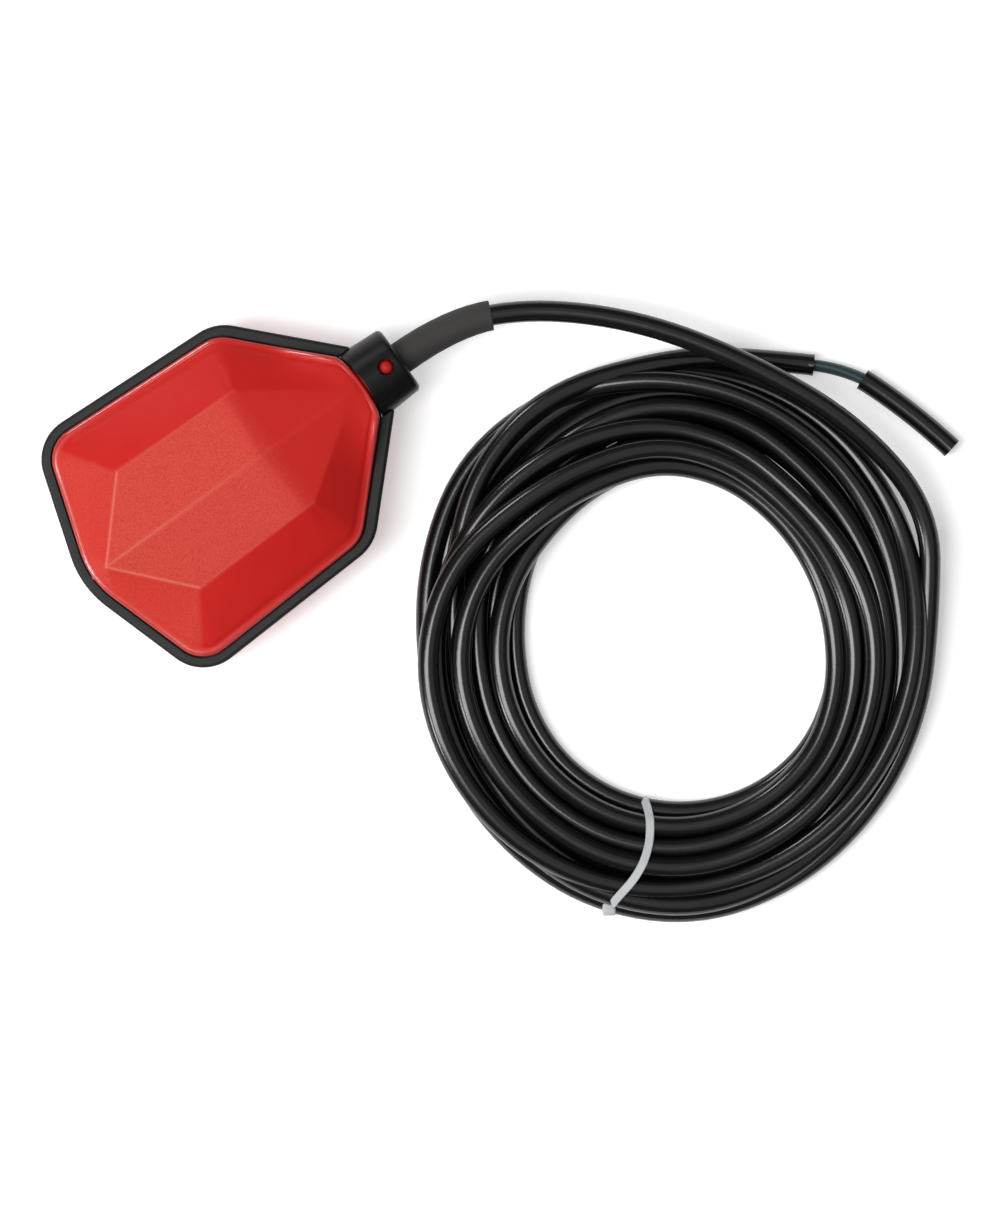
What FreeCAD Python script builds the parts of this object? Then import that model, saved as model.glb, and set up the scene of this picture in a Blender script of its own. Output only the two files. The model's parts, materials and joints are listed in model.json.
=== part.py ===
import FreeCAD, Part
import math
import os
import re

import Sketcher
from FreeCAD import Placement, Rotation, Vector

# Cable float level switch, in millimetres.
# The float lies flat on the surface z = 0.  +X points out of its neck along the cable exit,
# +Y to its left, +Z up, and the origin is under the middle of the float.

DRIVING = (
    ("overrun", 1.0, "how far a cutting or joining block runs past a face"),
    # the float as a whole
    ("mid_height", 20.0, "parting plane above the surface"),
    ("rim_half", 3.5, "half the height of the rim band"),
    ("rim_round", 1.2, "rounding of the rim's outer edges"),
    ("rim_tail_x", -64.6, "rim corner at the tail tip"),
    ("rim_tail_round", 33.0, "rim radius at the tail tip"),
    ("rim_side_x", -49.5, "rim corner between tail and long side"),
    ("rim_side_y", 47.6, ""),
    ("rim_side_round", 14.5, ""),
    ("rim_neck_x", 20.9, "rim corner between long side and neck side"),
    ("rim_neck_y", 44.5, ""),
    ("rim_neck_round", 15.5, ""),
    ("rim_end_x", 51.5, "end of the rim beside the collar"),
    ("rim_end_y", 12.8, ""),
    # outline of the two shells inside the rim
    ("shell_tail_x", -61.45, "shell corner at the tail tip"),
    ("shell_tail_round", 30.0, ""),
    ("shell_side_x", -47.3, "shell corner between tail and long side"),
    ("shell_side_y", 44.6, ""),
    ("shell_side_round", 11.5, ""),
    ("shell_neck_x", 18.9, "shell corner between long side and neck side"),
    ("shell_neck_y", 41.5, ""),
    ("shell_neck_round", 12.5, ""),
    ("shell_end_x", 47.3, "shell corner at the neck end"),
    ("shell_end_y", 12.0, ""),
    ("shell_end_bulge", 1.7, "bulge of the neck end towards the collar"),
    ("shell_edge", 6.0, "where wall and facets would meet, above the parting plane"),
    ("roll_start", 4.6, "the wall rolls over into the facets in two steps"),
    ("roll_middle", 5.7, ""),
    ("roll_middle_inset", 0.45, ""),
    ("roll_end", 6.35, ""),
    ("roll_end_inset", 1.3, ""),
    ("wall_side", 2.2, "wall thickness of the upright wall"),
    ("wall_roof", 2.6, "wall thickness of the roof, measured upright"),
    ("wall_ends", 2.6, "how far the steep tail and neck ends of the hollow stand back"),
    # the faceted roof: two planes on each side of the ridge, meeting at the peak
    ("peak_x", 3.7, ""),
    ("peak_rise", 20.0, "peak above the parting plane"),
    ("tail_slope", 0.07, "fall of the ridge towards the tail"),
    ("tail_fall", 0.159, "fall of the tail planes away from the ridge"),
    ("neck_slope", 0.17, "fall of the ridge towards the neck"),
    ("neck_fall", 0.05, "fall of the neck planes away from the ridge"),
    # where the side facets would end if they ran on to this height
    ("facet_top", 20.5, ""),
    ("facet_tail_x", -52.6, ""),
    ("facet_tail_round", 0.8, ""),
    ("facet_side_x", -22.4, ""),
    ("facet_side_y", 6.5, ""),
    ("facet_side_round", 2.0, ""),
    ("facet_neck_x", 12.3, ""),
    ("facet_neck_y", 16.5, ""),
    ("facet_neck_round", 1.5, ""),
    ("facet_end_x", 46.5, ""),
    ("facet_end_y", 0.3, ""),
    # tongue and groove along the parting plane
    ("tongue_inset", 0.7, ""),
    ("tongue_width", 0.8, ""),
    ("tongue_depth", 1.0, ""),
    ("tongue_play", 0.05, ""),
    # neck and collar
    ("neck_radius", 9.5, ""),
    ("neck_bore", 7.2, ""),
    ("neck_start_x", 44.0, ""),
    ("neck_end_x", 60.2, ""),
    ("neck_bore_x", 40.0, "inner end of the neck's bore"),
    ("peg_x", 57.5, ""),
    ("peg_radius", 2.4, ""),
    ("peg_height", 12.1, "top of the snap peg above the neck's axis"),
    ("peg_dome", 3.4, "radius of the peg's domed top"),
    ("collar_start_x", 46.0, ""),
    ("collar_base_radius", 12.8, ""),
    ("collar_end_radius", 11.75, ""),
    ("collar_end_x", 63.0, ""),
    ("collar_round", 1.8, ""),
    ("collar_bore", 9.6, ""),
    ("collar_floor_x", 60.4, "inner face of the collar's end wall"),
    ("collar_mouth", 5.4, ""),
    ("peg_hole", 2.75, ""),
    # cable, gland and sleeve
    ("cable_radius", 3.5, ""),
    ("cable_inner_x", 37.5, "where the jacket ends inside the float"),
    ("bush_start_x", 50.0, ""),
    ("bush_end_x", 58.4, ""),
    ("bush_radius", 7.15, ""),
    ("bush_taper_length", 3.0, "taper at the bush's inner end"),
    ("bush_taper", 0.6, ""),
    ("washer_start_x", 48.6, ""),
    ("washer_bore", 3.7, ""),
    ("sleeve_radius", 5.3, ""),
    ("sleeve_end_radius", 4.9, ""),
    ("sleeve_flange", 7.0, ""),
    ("sleeve_past_bend", 2.0, "straight end of the sleeve after the cable's first bend"),
    # cable clamp and its saddle
    ("clamp_start_x", 39.0, ""),
    ("clamp_end_x", 44.0, ""),
    ("clamp_half_width", 8.5, ""),
    ("clamp_under", 0.3, "clamp's underside above the parting plane"),
    ("clamp_top", 4.5, ""),
    ("saddle_half_width", 9.0, ""),
    ("saddle_past_clamp", 1.0, ""),
    ("saddle_under", 0.5, "saddle's face under the parting plane"),
    ("clamp_screw_y", 6.2, ""),
    ("screw_radius", 1.25, ""),
    ("screw_head", 2.2, ""),
    ("screw_head_height", 1.4, ""),
    ("clamp_screw_depth", 6.0, "below the parting plane"),
    # switch carrier, its ball track and its lugs
    ("carrier_tail_x", -36.8, ""),
    ("carrier_neck_x", 24.0, ""),
    ("carrier_half_width", 9.5, ""),
    ("carrier_floor", 8.0, ""),
    ("carrier_wall_top", 23.2, ""),
    ("track_tail_x", -34.8, ""),
    ("track_neck_x", -3.2, ""),
    ("track_radius", 6.8, ""),
    ("tray_start_x", -1.2, ""),
    ("tray_half_width", 7.5, ""),
    ("tray_floor", 9.5, ""),
    ("passage_floor", 19.5, "notch for the lever in the wall between track and tray"),
    ("lug_tail_x", -25.0, ""),
    ("lug_neck_x", 18.0, ""),
    ("lug_y", 12.5, ""),
    ("lug_radius", 3.0, ""),
    ("lug_top", 10.5, ""),
    ("boss_screw_end", 6.2, ""),
    ("cover_end_x", -12.2, ""),
    ("cover_top", 24.6, ""),
    ("cover_slot_half", 3.0, ""),
    ("cover_slot_tail_x", -30.0, "centre of the slot's rounded end"),
    ("bracket_top", 33.0, ""),
    # rolling ball
    ("ball_radius", 6.5, ""),
    ("ball_start_x", -28.0, ""),
    ("ball_travel", 18.0, ""),
    ("ball_height", 16.0, ""),
    # lever
    ("pivot_x", 6.0, ""),
    ("pivot_height", 24.8, ""),
    ("lever_turn", 0.16, "radians over the ball's travel"),
    ("lever_thick", 1.0, ""),
    ("lever_half_width", 1.9, ""),
    ("lever_gap", 0.3, "between ball and lever"),
    ("lever_hub", 1.1, ""),
    ("lever_tip", 3.0, "straight tip past the ball's first touch"),
    ("lever_bore", 0.66, ""),
    ("pin_radius", 0.6, ""),
    # microswitch
    ("case_tail_x", -12.0, ""),
    ("case_neck_x", 12.4, ""),
    ("case_bottom", 26.2, ""),
    ("case_top", 34.8, ""),
    ("case_half", 3.2, ""),
    ("cover_face", 1.9, "joint between switch case and switch cover"),
    ("chamber_tail_x", -8.6, ""),
    ("chamber_neck_x", 9.6, ""),
    ("chamber_bottom", 27.4, ""),
    ("chamber_top", 33.7, ""),
    ("ear_inner", 2.2, ""),
    ("ear_half_length", 1.6, ""),
    ("ear_bottom", 23.2, ""),
    ("ear_sunk", 0.5, "how far each ear reaches into the case"),
    ("mount_tail_x", -10.3, ""),
    ("mount_tail_z", 30.5, ""),
    ("mount_neck_x", 11.0, ""),
    ("mount_neck_z", 27.6, ""),
    ("mount_radius", 1.0, ""),
    ("mount_play", 0.1, ""),
    ("mount_head", 1.9, ""),
    ("mount_head_height", 1.4, ""),
    ("mount_depth", 7.5, ""),
    ("plunger_x", 0.0, ""),
    ("plunger_radius", 1.0, ""),
    ("plunger_bore", 1.05, ""),
    ("plunger_flange", 1.5, ""),
    ("plunger_flange_low", 0.2, "above the chamber's floor"),
    ("plunger_flange_high", 0.8, ""),
    ("plunger_bevel", 0.4, ""),
    ("plunger_gap", 0.45, "between lever and plunger"),
    ("crown_gap", 0.45, "between plunger and blade"),
    ("blade_bottom", 29.35, ""),
    ("blade_thick", 0.3, ""),
    ("blade_tip_x", -7.4, ""),
    ("blade_pivot_x", 8.0, ""),
    ("blade_knuckle", 0.5, "radius of the rolled end that the blade turns about"),
    ("blade_half_width", 1.5, ""),
    ("contact_x", -6.0, ""),
    ("contact_radius", 0.9, ""),
    ("contact_height", 0.4, "height of each fixed contact"),
    ("contact_under", 0.15, "moving contact under the blade"),
    ("contact_over", 0.7, "moving contact above the blade"),
    ("tab_half_width", 1.4, ""),
    ("tab_thick", 0.5, ""),
    ("tab_length", 6.0, "length of each terminal tab outside the case"),
    ("com_start_x", 9.0, ""),
    ("com_bottom", 29.2, ""),
    ("nc_bottom", 28.0, ""),
    ("no_bottom", 32.8, ""),
    ("receptacle_half_width", 1.9, ""),
    ("receptacle_half_height", 0.9, ""),
    ("receptacle_start", 1.6, "gap from the case to the receptacle"),
    ("receptacle_length", 6.4, ""),
    ("barrel_radius", 1.35, ""),
    ("barrel_length", 3.0, ""),
    ("barrel_drop", 0.55, "neck-side barrels under the middle of their tabs"),
    ("core_radius", 1.1, ""),
    # free cable: coil, tail and stripped end
    ("coil_x", 84.0, "centre of the coil"),
    ("coil_y", -125.0, ""),
    ("coil_turned", -35.6, "degrees from +X to the coil's short axis"),
    ("coil_outer_long", 94.0, ""),
    ("coil_outer_short", 85.0, ""),
    ("coil_inner_long", 52.5, ""),
    ("coil_inner_short", 49.0, ""),
    ("coil_thick", 15.0, ""),
    ("coil_round", 5.0, ""),
    ("bundle_radius", 1.8, "core bundle where the jacket is cut back"),
    ("tie_place", 257.0, "degrees around the coil, from its short axis"),
    ("tie_half_width", 1.6, ""),
    ("tie_thick", 1.2, ""),
    ("tie_head", 4.7, ""),
    ("tie_head_sunk", 1.0, "how far the head reaches into the coil"),
    ("tie_margin", 5.0, "the strap's cutting box past the coil's inner and outer faces"),
)

# free cable, each point chosen on its way: over the coil to its outermost turn
LEAD_ROUTE = (
    (63.0, 0.0, 20.0),
    (83.5, 0.0, 20.0),
    (109.0, -12.5, 19.5),
    (135.0, -37.0, 19.5),
    (155.0, -68.0, 18.8),
    (170.0, -103.0, 16.5),
    (172.0, -140.0, 12.0),
)
# from under the lead to the jacket's cut end, then the bare bundle and the jacket's loose end
TAIL_ROUTE = (
    (112.0, -44.0, 3.5),
    (138.0, -52.0, 3.5),
    (157.0, -63.0, 3.5),
    (171.5, -79.5, 3.5),
)
BUNDLE_ROUTE = (
    (171.5, -79.5, 3.5),
    (177.0, -85.8, 3.5),
    (180.6, -92.8, 3.5),
)
STUB_ROUTE = (
    (180.6, -92.8, 3.5),
    (187.6, -109.6, 3.5),
    (194.1, -127.5, 3.5),
)
# inner cores, from the cut end of the jacket to their terminals
CORE_ROUTES = {
    "com": ((37.5, 0.0, 21.4), (31.5, 0.3, 24.6), (23.4, 0.0, 28.9)),
    "nc": ((37.5, -1.25, 19.3), (29.0, -3.4, 21.4), (15.0, -7.6, 26.4), (-5.0, -8.6, 28.6),
           (-14.6, -9.6, 28.4), (-17.2, -4.9, 28.25)),
    "no": ((37.5, 1.25, 19.3), (33.5, 3.4, 23.2), (29.5, 2.6, 29.3), (23.4, 0.0, 32.5)),
}

REACH = 90.0        # past every face of the float
LEVEL = 1e-4        # an edge with less rise than this lies flat
ARC_SHARE = 0.45    # of the shorter run beside a corner, taken by its arc

doc = FreeCAD.newDocument("FloatLevelSwitch")
dims = doc.addObject("Spreadsheet::Sheet", "dims")
for row, (alias, value, note) in enumerate(DRIVING, start=1):
    dims.set(f"A{row}", alias)
    dims.set(f"B{row}", str(value))
    dims.set(f"C{row}", note)
    dims.setAlias(f"B{row}", alias)
doc.recompute()

aliases = {alias for alias, _, _ in DRIVING}
pieces = []


def size(text):
    """Value of an expression written in the sheet's aliases."""
    value = dims.evalExpression(text)
    return float(getattr(value, "Value", value))


def bind(obj, **links):
    """Bind properties to expressions; a double underscore stands for a dot."""
    for prop, text in links.items():
        obj.setExpression(prop.replace("__", "."), sheet_text(text))
    return obj


def sheet_text(text):
    """Put the sheet's name before each alias in an expression."""
    return re.sub(r"[a-z_]+", lambda word: "dims." * (word.group() in aliases) + word.group(), text)


def piece(obj, label):
    """Name a finished sub-part; its label names its file."""
    obj.Label = label
    pieces.append(obj)
    return obj


def block(name, x, y, z):
    """Box between two expressions along each axis."""
    obj = doc.addObject("Part::Box", name)
    bind(obj, Length=f"( {x[1]} ) - ( {x[0]} )", Width=f"( {y[1]} ) - ( {y[0]} )",
         Height=f"( {z[1]} ) - ( {z[0]} )", Placement__Base__x=x[0], Placement__Base__y=y[0],
         Placement__Base__z=z[0])
    return obj


AXES = {"x": Rotation(Vector(0, 1, 0), 90), "y": Rotation(Vector(1, 0, 0), -90), "z": Rotation()}


def rod(name, radius, along, span, x="0", y="0", z="0"):
    """Cylinder along an axis, between the two expressions of its span."""
    obj = doc.addObject("Part::Cylinder", name)
    obj.Placement = Placement(Vector(), AXES[along])
    place = {"x": x, "y": y, "z": z, along: span[0]}
    bind(obj, Radius=radius, Height=f"( {span[1]} ) - ( {span[0]} )", Placement__Base__x=place["x"],
         Placement__Base__y=place["y"], Placement__Base__z=place["z"])
    return obj


def cut(name, base, *tools):
    """Base less every tool, as a chain of Part cuts."""
    for number, tool in enumerate(tools):
        result = doc.addObject("Part::Cut", f"{name}_less_{number}")
        result.Base = base
        result.Tool = tool
        result.Refine = False
        base = result
    return base


def join(name, *parts):
    obj = doc.addObject("Part::MultiFuse", name)
    obj.Shapes = list(parts)
    obj.Refine = True
    return obj


def group(name, *parts):
    """Separate like fasteners kept as one sub-part."""
    obj = doc.addObject("Part::Compound", name)
    obj.Links = list(parts)
    return obj


def formed(name, shape):
    """Sub-part whose form is set with Part's own functions."""
    obj = doc.addObject("Part::Feature", name)
    obj.Shape = shape
    return obj


def turned(name, profile, along="x", x="0", z="mid_height"):
    """Body of revolution: (distance along the axis, radius) pairs, turned about its axis."""
    body = doc.addObject("PartDesign::Body", name)
    plane = next(item for item in body.Origin.OriginFeatures if item.Role == "XZ_Plane")
    sketch = body.newObject("Sketcher::SketchObject", name + "_profile")
    sketch.AttachmentSupport = [(plane, "")]
    sketch.MapMode = "FlatFace"
    flat = [(a, r) if along == "x" else (r, a) for a, r in profile]
    spots = [Vector(size(a), size(b), 0) for a, b in flat]
    for start, end in zip(spots, spots[1:] + spots[:1]):
        sketch.addGeometry(Part.LineSegment(start, end))
    last = len(spots) - 1
    for number, (across, up) in enumerate(flat):
        before = last if number == 0 else number - 1
        sketch.addConstraint(Sketcher.Constraint("Coincident", before, 2, number, 1))
        for kind, text in (("DistanceX", across), ("DistanceY", up)):
            index = sketch.addConstraint(Sketcher.Constraint(kind, -1, 1, number, 1, size(text)))
            sketch.setExpression(f"Constraints[{index}]", sheet_text(text))
    turn = body.newObject("PartDesign::Revolution", name + "_turned")
    turn.Profile = sketch
    turn.ReferenceAxis = (sketch, ["H_Axis" if along == "x" else "V_Axis"])
    turn.Angle = 360.0
    bind(body, Placement__Base__x=x, Placement__Base__z=z)
    return body


CORNERS = ("end", "neck", "side", "tail")


def outline(prefix, z, bulge=0.0, rounded=True, ends_inset=0.0):
    """Closed wire through the four named corners and their mirror images across the X axis.

    Each corner is named by its aliases prefix_corner_x, _y and _round; one without a
    round stays sharp.  The closing edge at the neck is an arc when it has a bulge.  The tail
    and end corners may stand further in, by ends_inset.
    """
    def value(corner, what):
        alias = f"{prefix}_{corner}_{what}"
        given = alias in aliases and (rounded or what != "round")
        return size(alias) if given else 0.0

    left = [(value(c, "x"), value(c, "y"), value(c, "round")) for c in CORNERS]
    for place, move in ((0, -ends_inset), (-1, ends_inset)):
        left[place] = (left[place][0] + move, *left[place][1:])
    right = [(x, -y, r) for x, y, r in reversed(left) if y > 0]
    spots = left + right
    points = [Vector(x, y, z) for x, y, _ in spots]
    runs = []
    arcs = []
    for i, (x, y, radius) in enumerate(spots):
        back = (points[i - 1] - points[i]).normalize()
        on = (points[(i + 1) % len(points)] - points[i]).normalize()
        half = back.getAngle(on) / 2
        reach = radius / math.tan(half)
        first = points[i] + back * reach
        final = points[i] + on * reach
        inward = (back + on).normalize() * (radius / math.sin(half) - radius)
        arcs.append(Part.Arc(first, points[i] + inward, final).toShape() if radius else None)
        runs.append((first, final))
    edges = []
    for i, arc in enumerate(arcs):
        if arc:
            edges.append(arc)
        start = runs[i][1]
        end = runs[(i + 1) % len(runs)][0]
        if bulge and i == len(arcs) - 1:
            middle = Vector((start.x + end.x) / 2 + bulge, 0, z)
            edges.append(Part.Arc(start, middle, end).toShape())
        else:
            edges.append(Part.LineSegment(start, end).toShape())
    return Part.Wire(edges)


def shell_outline(z, inset=0.0):
    wire = outline("shell", z, size("shell_end_bulge"))
    return wire.makeOffset2D(-inset) if inset else wire


def slab(wire, thick):
    return Part.Face(wire).extrude(Vector(0, 0, thick))


def roof_height(x, y):
    """Height of the faceted roof above the parting plane."""
    tail = size("tail_slope") * (x - size("peak_x")) - size("tail_fall") * abs(y)
    neck = -size("neck_slope") * (x - size("peak_x")) - size("neck_fall") * abs(y)
    return size("peak_rise") + min(tail, neck)


def roof_cutters():
    """Four solids that fill the space above the roof's planes."""
    # the tail and neck planes meet on a line that runs out from the peak
    lean = (size("tail_fall") - size("neck_fall")) / (size("tail_slope") + size("neck_slope"))
    peak = size("peak_x")
    cutters = []
    for side in (1, -1):
        for far in (-REACH, REACH + peak):
            plan = [(far, 0), (peak, 0), (peak + lean * REACH, side * REACH), (far, side * REACH)]
            corners = [Vector(x, y, roof_height(x, y)) for x, y in plan]
            cutters.append(Part.Face(Part.makePolygon(corners + corners[:1])).extrude(Vector(0, 0, REACH)))
    return cutters


def shell_blank():
    """Solid form of one shell: upright wall, rolled edge, lofted side facets, roof planes."""
    start = size("roll_start")
    rolled = [shell_outline(size("roll_middle"), size("roll_middle_inset")),
              shell_outline(size("roll_end"), size("roll_end_inset"))]
    sections = [shell_outline(start), *rolled, outline("facet", size("facet_top"))]
    facets = Part.makeLoft(sections, True, True)
    return slab(shell_outline(0.0), start).fuse(facets).removeSplitter().cut(roof_cutters())


def shell_hollow():
    """Space inside one shell: the same facets with sharp corners, sunk by the roof's thickness."""
    edge = size("shell_edge")
    bulge = size("shell_end_bulge")
    ends = size("wall_ends")
    foot = outline("shell", edge, bulge, False, ends)
    head = outline("facet", size("facet_top"), 0.0, False, ends)
    facets = Part.makeLoft([foot, head], True, True)
    base = slab(outline("shell", -edge, bulge, False, ends), 2 * edge)
    form = base.fuse(facets).removeSplitter().cut(roof_cutters())
    form.translate(Vector(0, 0, -size("wall_roof")))
    return form.common(slab(shell_outline(-edge, size("wall_side")), 2 * size("facet_top")))


def along_x(radius, start, end):
    return Part.makeCylinder(radius, end - start, Vector(start, 0, 0), Vector(1, 0, 0))


def shell_half(tongue):
    """One moulded shell with its parting plane at z = 0 and its roof upwards."""
    outer = shell_blank()
    shell = outer.cut(shell_hollow())
    # half of the neck tube, with the peg that snaps into the collar
    above = Part.makeBox(2 * REACH, 2 * REACH, REACH, Vector(-REACH, -REACH, 0))
    neck = along_x(size("neck_radius"), size("neck_start_x"), size("neck_end_x")).common(above)
    crown = size("peg_height") - size("peg_dome")
    peg_foot = Vector(size("peg_x"), 0, size("neck_radius - overrun"))
    peg = Part.makeCylinder(size("peg_radius"), REACH, peg_foot)
    peg = peg.common(Part.makeSphere(size("peg_dome"), Vector(size("peg_x"), 0, crown)))
    shell = shell.fuse([neck, peg])
    play = 0.0 if tongue else size("tongue_play")
    ring = slab(shell_outline(-size("tongue_depth") - play, size("tongue_inset") - play),
                size("tongue_depth") + play)
    inset = size("tongue_inset") + size("tongue_width") + play
    ring = ring.cut(slab(shell_outline(-size("tongue_depth") - play, inset), size("tongue_depth") + play))
    if tongue:
        shell = shell.fuse(ring)
    else:
        ring.translate(Vector(0, 0, size("tongue_depth") + play))
        shell = shell.cut(ring)
    bore = along_x(size("neck_bore"), size("neck_bore_x"), size("neck_end_x + overrun"))
    return shell.cut(bore).removeSplitter(), outer


def upper_shell():
    shell, _ = shell_half(True)
    return shell.translated(Vector(0, 0, size("mid_height")))


def lower_shell():
    """The lower shell also carries the cable saddle and the carrier's four bosses."""
    shell, outer = shell_half(False)
    middle = size("mid_height")
    saddle = Part.makeBox(size("clamp_end_x - clamp_start_x + 2 * saddle_past_clamp"),
                          size("2 * saddle_half_width"), REACH,
                          Vector(size("clamp_start_x - saddle_past_clamp"), -size("saddle_half_width"),
                                 size("saddle_under")))
    bosses = []
    holes = [along_x(size("cable_radius"), size("cable_inner_x"), size("bush_start_x"))]
    lug_face = middle - size("carrier_floor")
    for x in (size("lug_tail_x"), size("lug_neck_x")):
        for y in (size("lug_y"), -size("lug_y")):
            bosses.append(Part.makeCylinder(size("lug_radius"), REACH, Vector(x, y, lug_face)))
            holes.append(Part.makeCylinder(size("screw_radius"), middle - size("boss_screw_end") - lug_face,
                                           Vector(x, y, lug_face)))
    middle_x = (size("clamp_start_x") + size("clamp_end_x")) / 2
    for y in (size("clamp_screw_y"), -size("clamp_screw_y")):
        holes.append(Part.makeCylinder(size("screw_radius"), size("clamp_screw_depth"),
                                       Vector(middle_x, y, 0)))
    inside = [item.common(outer) for item in [saddle] + bosses]
    shell = shell.fuse(inside).cut(holes).removeSplitter()
    shell.rotate(Vector(), Vector(1, 0, 0), 180)
    return shell.translated(Vector(0, 0, middle))


def rim_frame():
    """Band that seals the joint between the shells and ends beside the collar."""
    half = size("rim_half")
    outer = slab(outline("rim", -half), 2 * half)
    edges = [e for e in outer.Edges
             if e.BoundBox.ZLength < LEVEL and e.BoundBox.XMax < size("rim_end_x") - LEVEL]
    band = outer.makeFillet(size("rim_round"), edges)
    band = band.cut(slab(shell_outline(-half), 2 * half))
    collar_clearance = along_x(size("collar_base_radius"), size("collar_start_x"), size("collar_end_x"))
    return band.cut(collar_clearance).translated(Vector(0, 0, size("mid_height")))


def neck_collar():
    """Collar over the neck, its end rounded, its base fitted to the shells' neck end."""
    start, end = size("collar_start_x"), size("collar_end_x")
    cone = Part.makeCone(size("collar_base_radius"), size("collar_end_radius"), end - start,
                         Vector(start, 0, 0), Vector(1, 0, 0))
    lip = [e for e in cone.Edges if abs(e.BoundBox.XMin - end) < LEVEL]
    collar = cone.makeFillet(size("collar_round"), lip)
    floor = size("collar_floor_x")
    bore = along_x(size("collar_bore"), start, floor)
    collar = collar.cut([bore, along_x(size("collar_mouth"), floor, end)])
    peg_hole = Part.makeCylinder(size("peg_hole"), 2 * REACH, Vector(size("peg_x"), 0, -REACH))
    collar = collar.cut([slab(shell_outline(-REACH), 2 * REACH), peg_hole])
    return collar.translated(Vector(0, 0, size("mid_height")))


def route_wire(name, route):
    """Straight runs joined by tangent arcs, each arc as large as its two runs allow."""
    points = [Vector(*p) for p in route]
    edges = []
    here = points[0]
    radii = []
    for before, corner, after in zip(points, points[1:], points[2:]):
        back = before - corner
        on = after - corner
        reach = ARC_SHARE * min(back.Length, on.Length)
        back.normalize()
        on.normalize()
        half = back.getAngle(on) / 2
        radius = reach * math.tan(half)
        first = corner + back * reach
        final = corner + on * reach
        middle = corner + (back + on).normalize() * (radius / math.sin(half) - radius)
        edges += [Part.LineSegment(here, first).toShape(), Part.Arc(first, middle, final).toShape()]
        radii.append(round(radius, 1))
        here = final
    edges.append(Part.LineSegment(here, points[-1]).toShape())
    print(f"{name}: radii {radii}")
    return Part.Wire(edges)


def tube(name, wire, radius, end_radius=None):
    """Solid tube along a wire; its volume is held against section times length."""
    end_radius = end_radius or radius
    first, final = wire.Edges[0], wire.Edges[-1]
    sections = []
    for edge, share, section_radius in ((first, 0, radius), (final, 1, end_radius)):
        spot = edge.valueAt(edge.ParameterRange[share])
        heading = edge.tangentAt(edge.ParameterRange[share])
        sections.append(Part.Wire(Part.makeCircle(section_radius, spot, heading)))
    solid = wire.makePipeShell(sections if end_radius != radius else sections[:1], True, False)
    mean = (radius**2 + radius * end_radius + end_radius**2) / 3
    share = solid.Volume / (math.pi * mean * wire.Length)
    print(f"{name}: length {wire.Length:.1f} mm, volume share {share:.3f}")
    return solid


def cable_tube(name, route, radius="cable_radius"):
    return tube(name, route_wire(name, route), size(radius))


def strain_relief_sleeve():
    """Sleeve over the cable as far as its first bend, held in the neck by its flange."""
    middle = Vector(0, 0, size("mid_height"))
    flange_start = size("bush_end_x")
    flange = along_x(size("sleeve_flange"), flange_start, size("collar_floor_x"))
    stem = along_x(size("sleeve_radius"), flange_start, size("collar_end_x"))
    bend = route_wire("sleeve", LEAD_ROUTE[:4]).Edges[:2]
    leaving = bend[1].valueAt(bend[1].LastParameter)
    heading = bend[1].tangentAt(bend[1].LastParameter)
    past = Part.LineSegment(leaving, leaving + heading * size("sleeve_past_bend")).toShape()
    free = tube("sleeve", Part.Wire(bend + [past]), size("sleeve_radius"), size("sleeve_end_radius"))
    bore = cable_tube("sleeve bore", LEAD_ROUTE[:4])
    entry = along_x(size("cable_radius"), size("bush_end_x - overrun"), size("collar_end_x"))
    stock = flange.fuse(stem).translated(middle).fuse(free)
    return stock.cut([bore, entry.translated(middle)]).removeSplitter()


def contact_face(travel):
    """Lever's face over the ball after some travel, seen from the lever, about its pivot."""
    turn = size("lever_turn") * travel / size("ball_travel")

    def ball_seen(distance):
        angle = size("lever_turn") * distance / size("ball_travel")
        x = size("ball_start_x") + distance - size("pivot_x")
        z = size("ball_height") - size("pivot_height")
        return Vector(x * math.cos(angle) - z * math.sin(angle), 0, x * math.sin(angle) + z * math.cos(angle))

    step = 0.01
    along = (ball_seen(travel + step) - ball_seen(travel - step)).normalize()
    normal = Vector(-along.z, 0, along.x)
    return ball_seen(travel) + normal * (size("ball_radius") + size("lever_gap")), along, normal


def lever_profile():
    """Lower and upper points of the lever, from its tip to its hub, about the pivot."""
    travel = size("ball_travel")
    tip, tip_run, tip_normal = contact_face(0.0)
    middle, _, middle_normal = contact_face(travel / 2)
    heel, _, heel_normal = contact_face(travel)
    thick = size("lever_thick")
    hub = size("lever_hub")
    lower = [tip - tip_run * size("lever_tip"), tip, middle, heel, Vector(0, 0, -hub)]
    arm = (lower[4] - heel).normalize()
    arm_normal = Vector(-arm.z, 0, arm.x)
    upper = [lower[0] + tip_normal * thick, tip + tip_normal * thick, middle + middle_normal * thick,
             heel + (heel_normal + arm_normal).normalize() * thick, lower[4] + arm_normal * thick]
    return lower, upper


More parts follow.
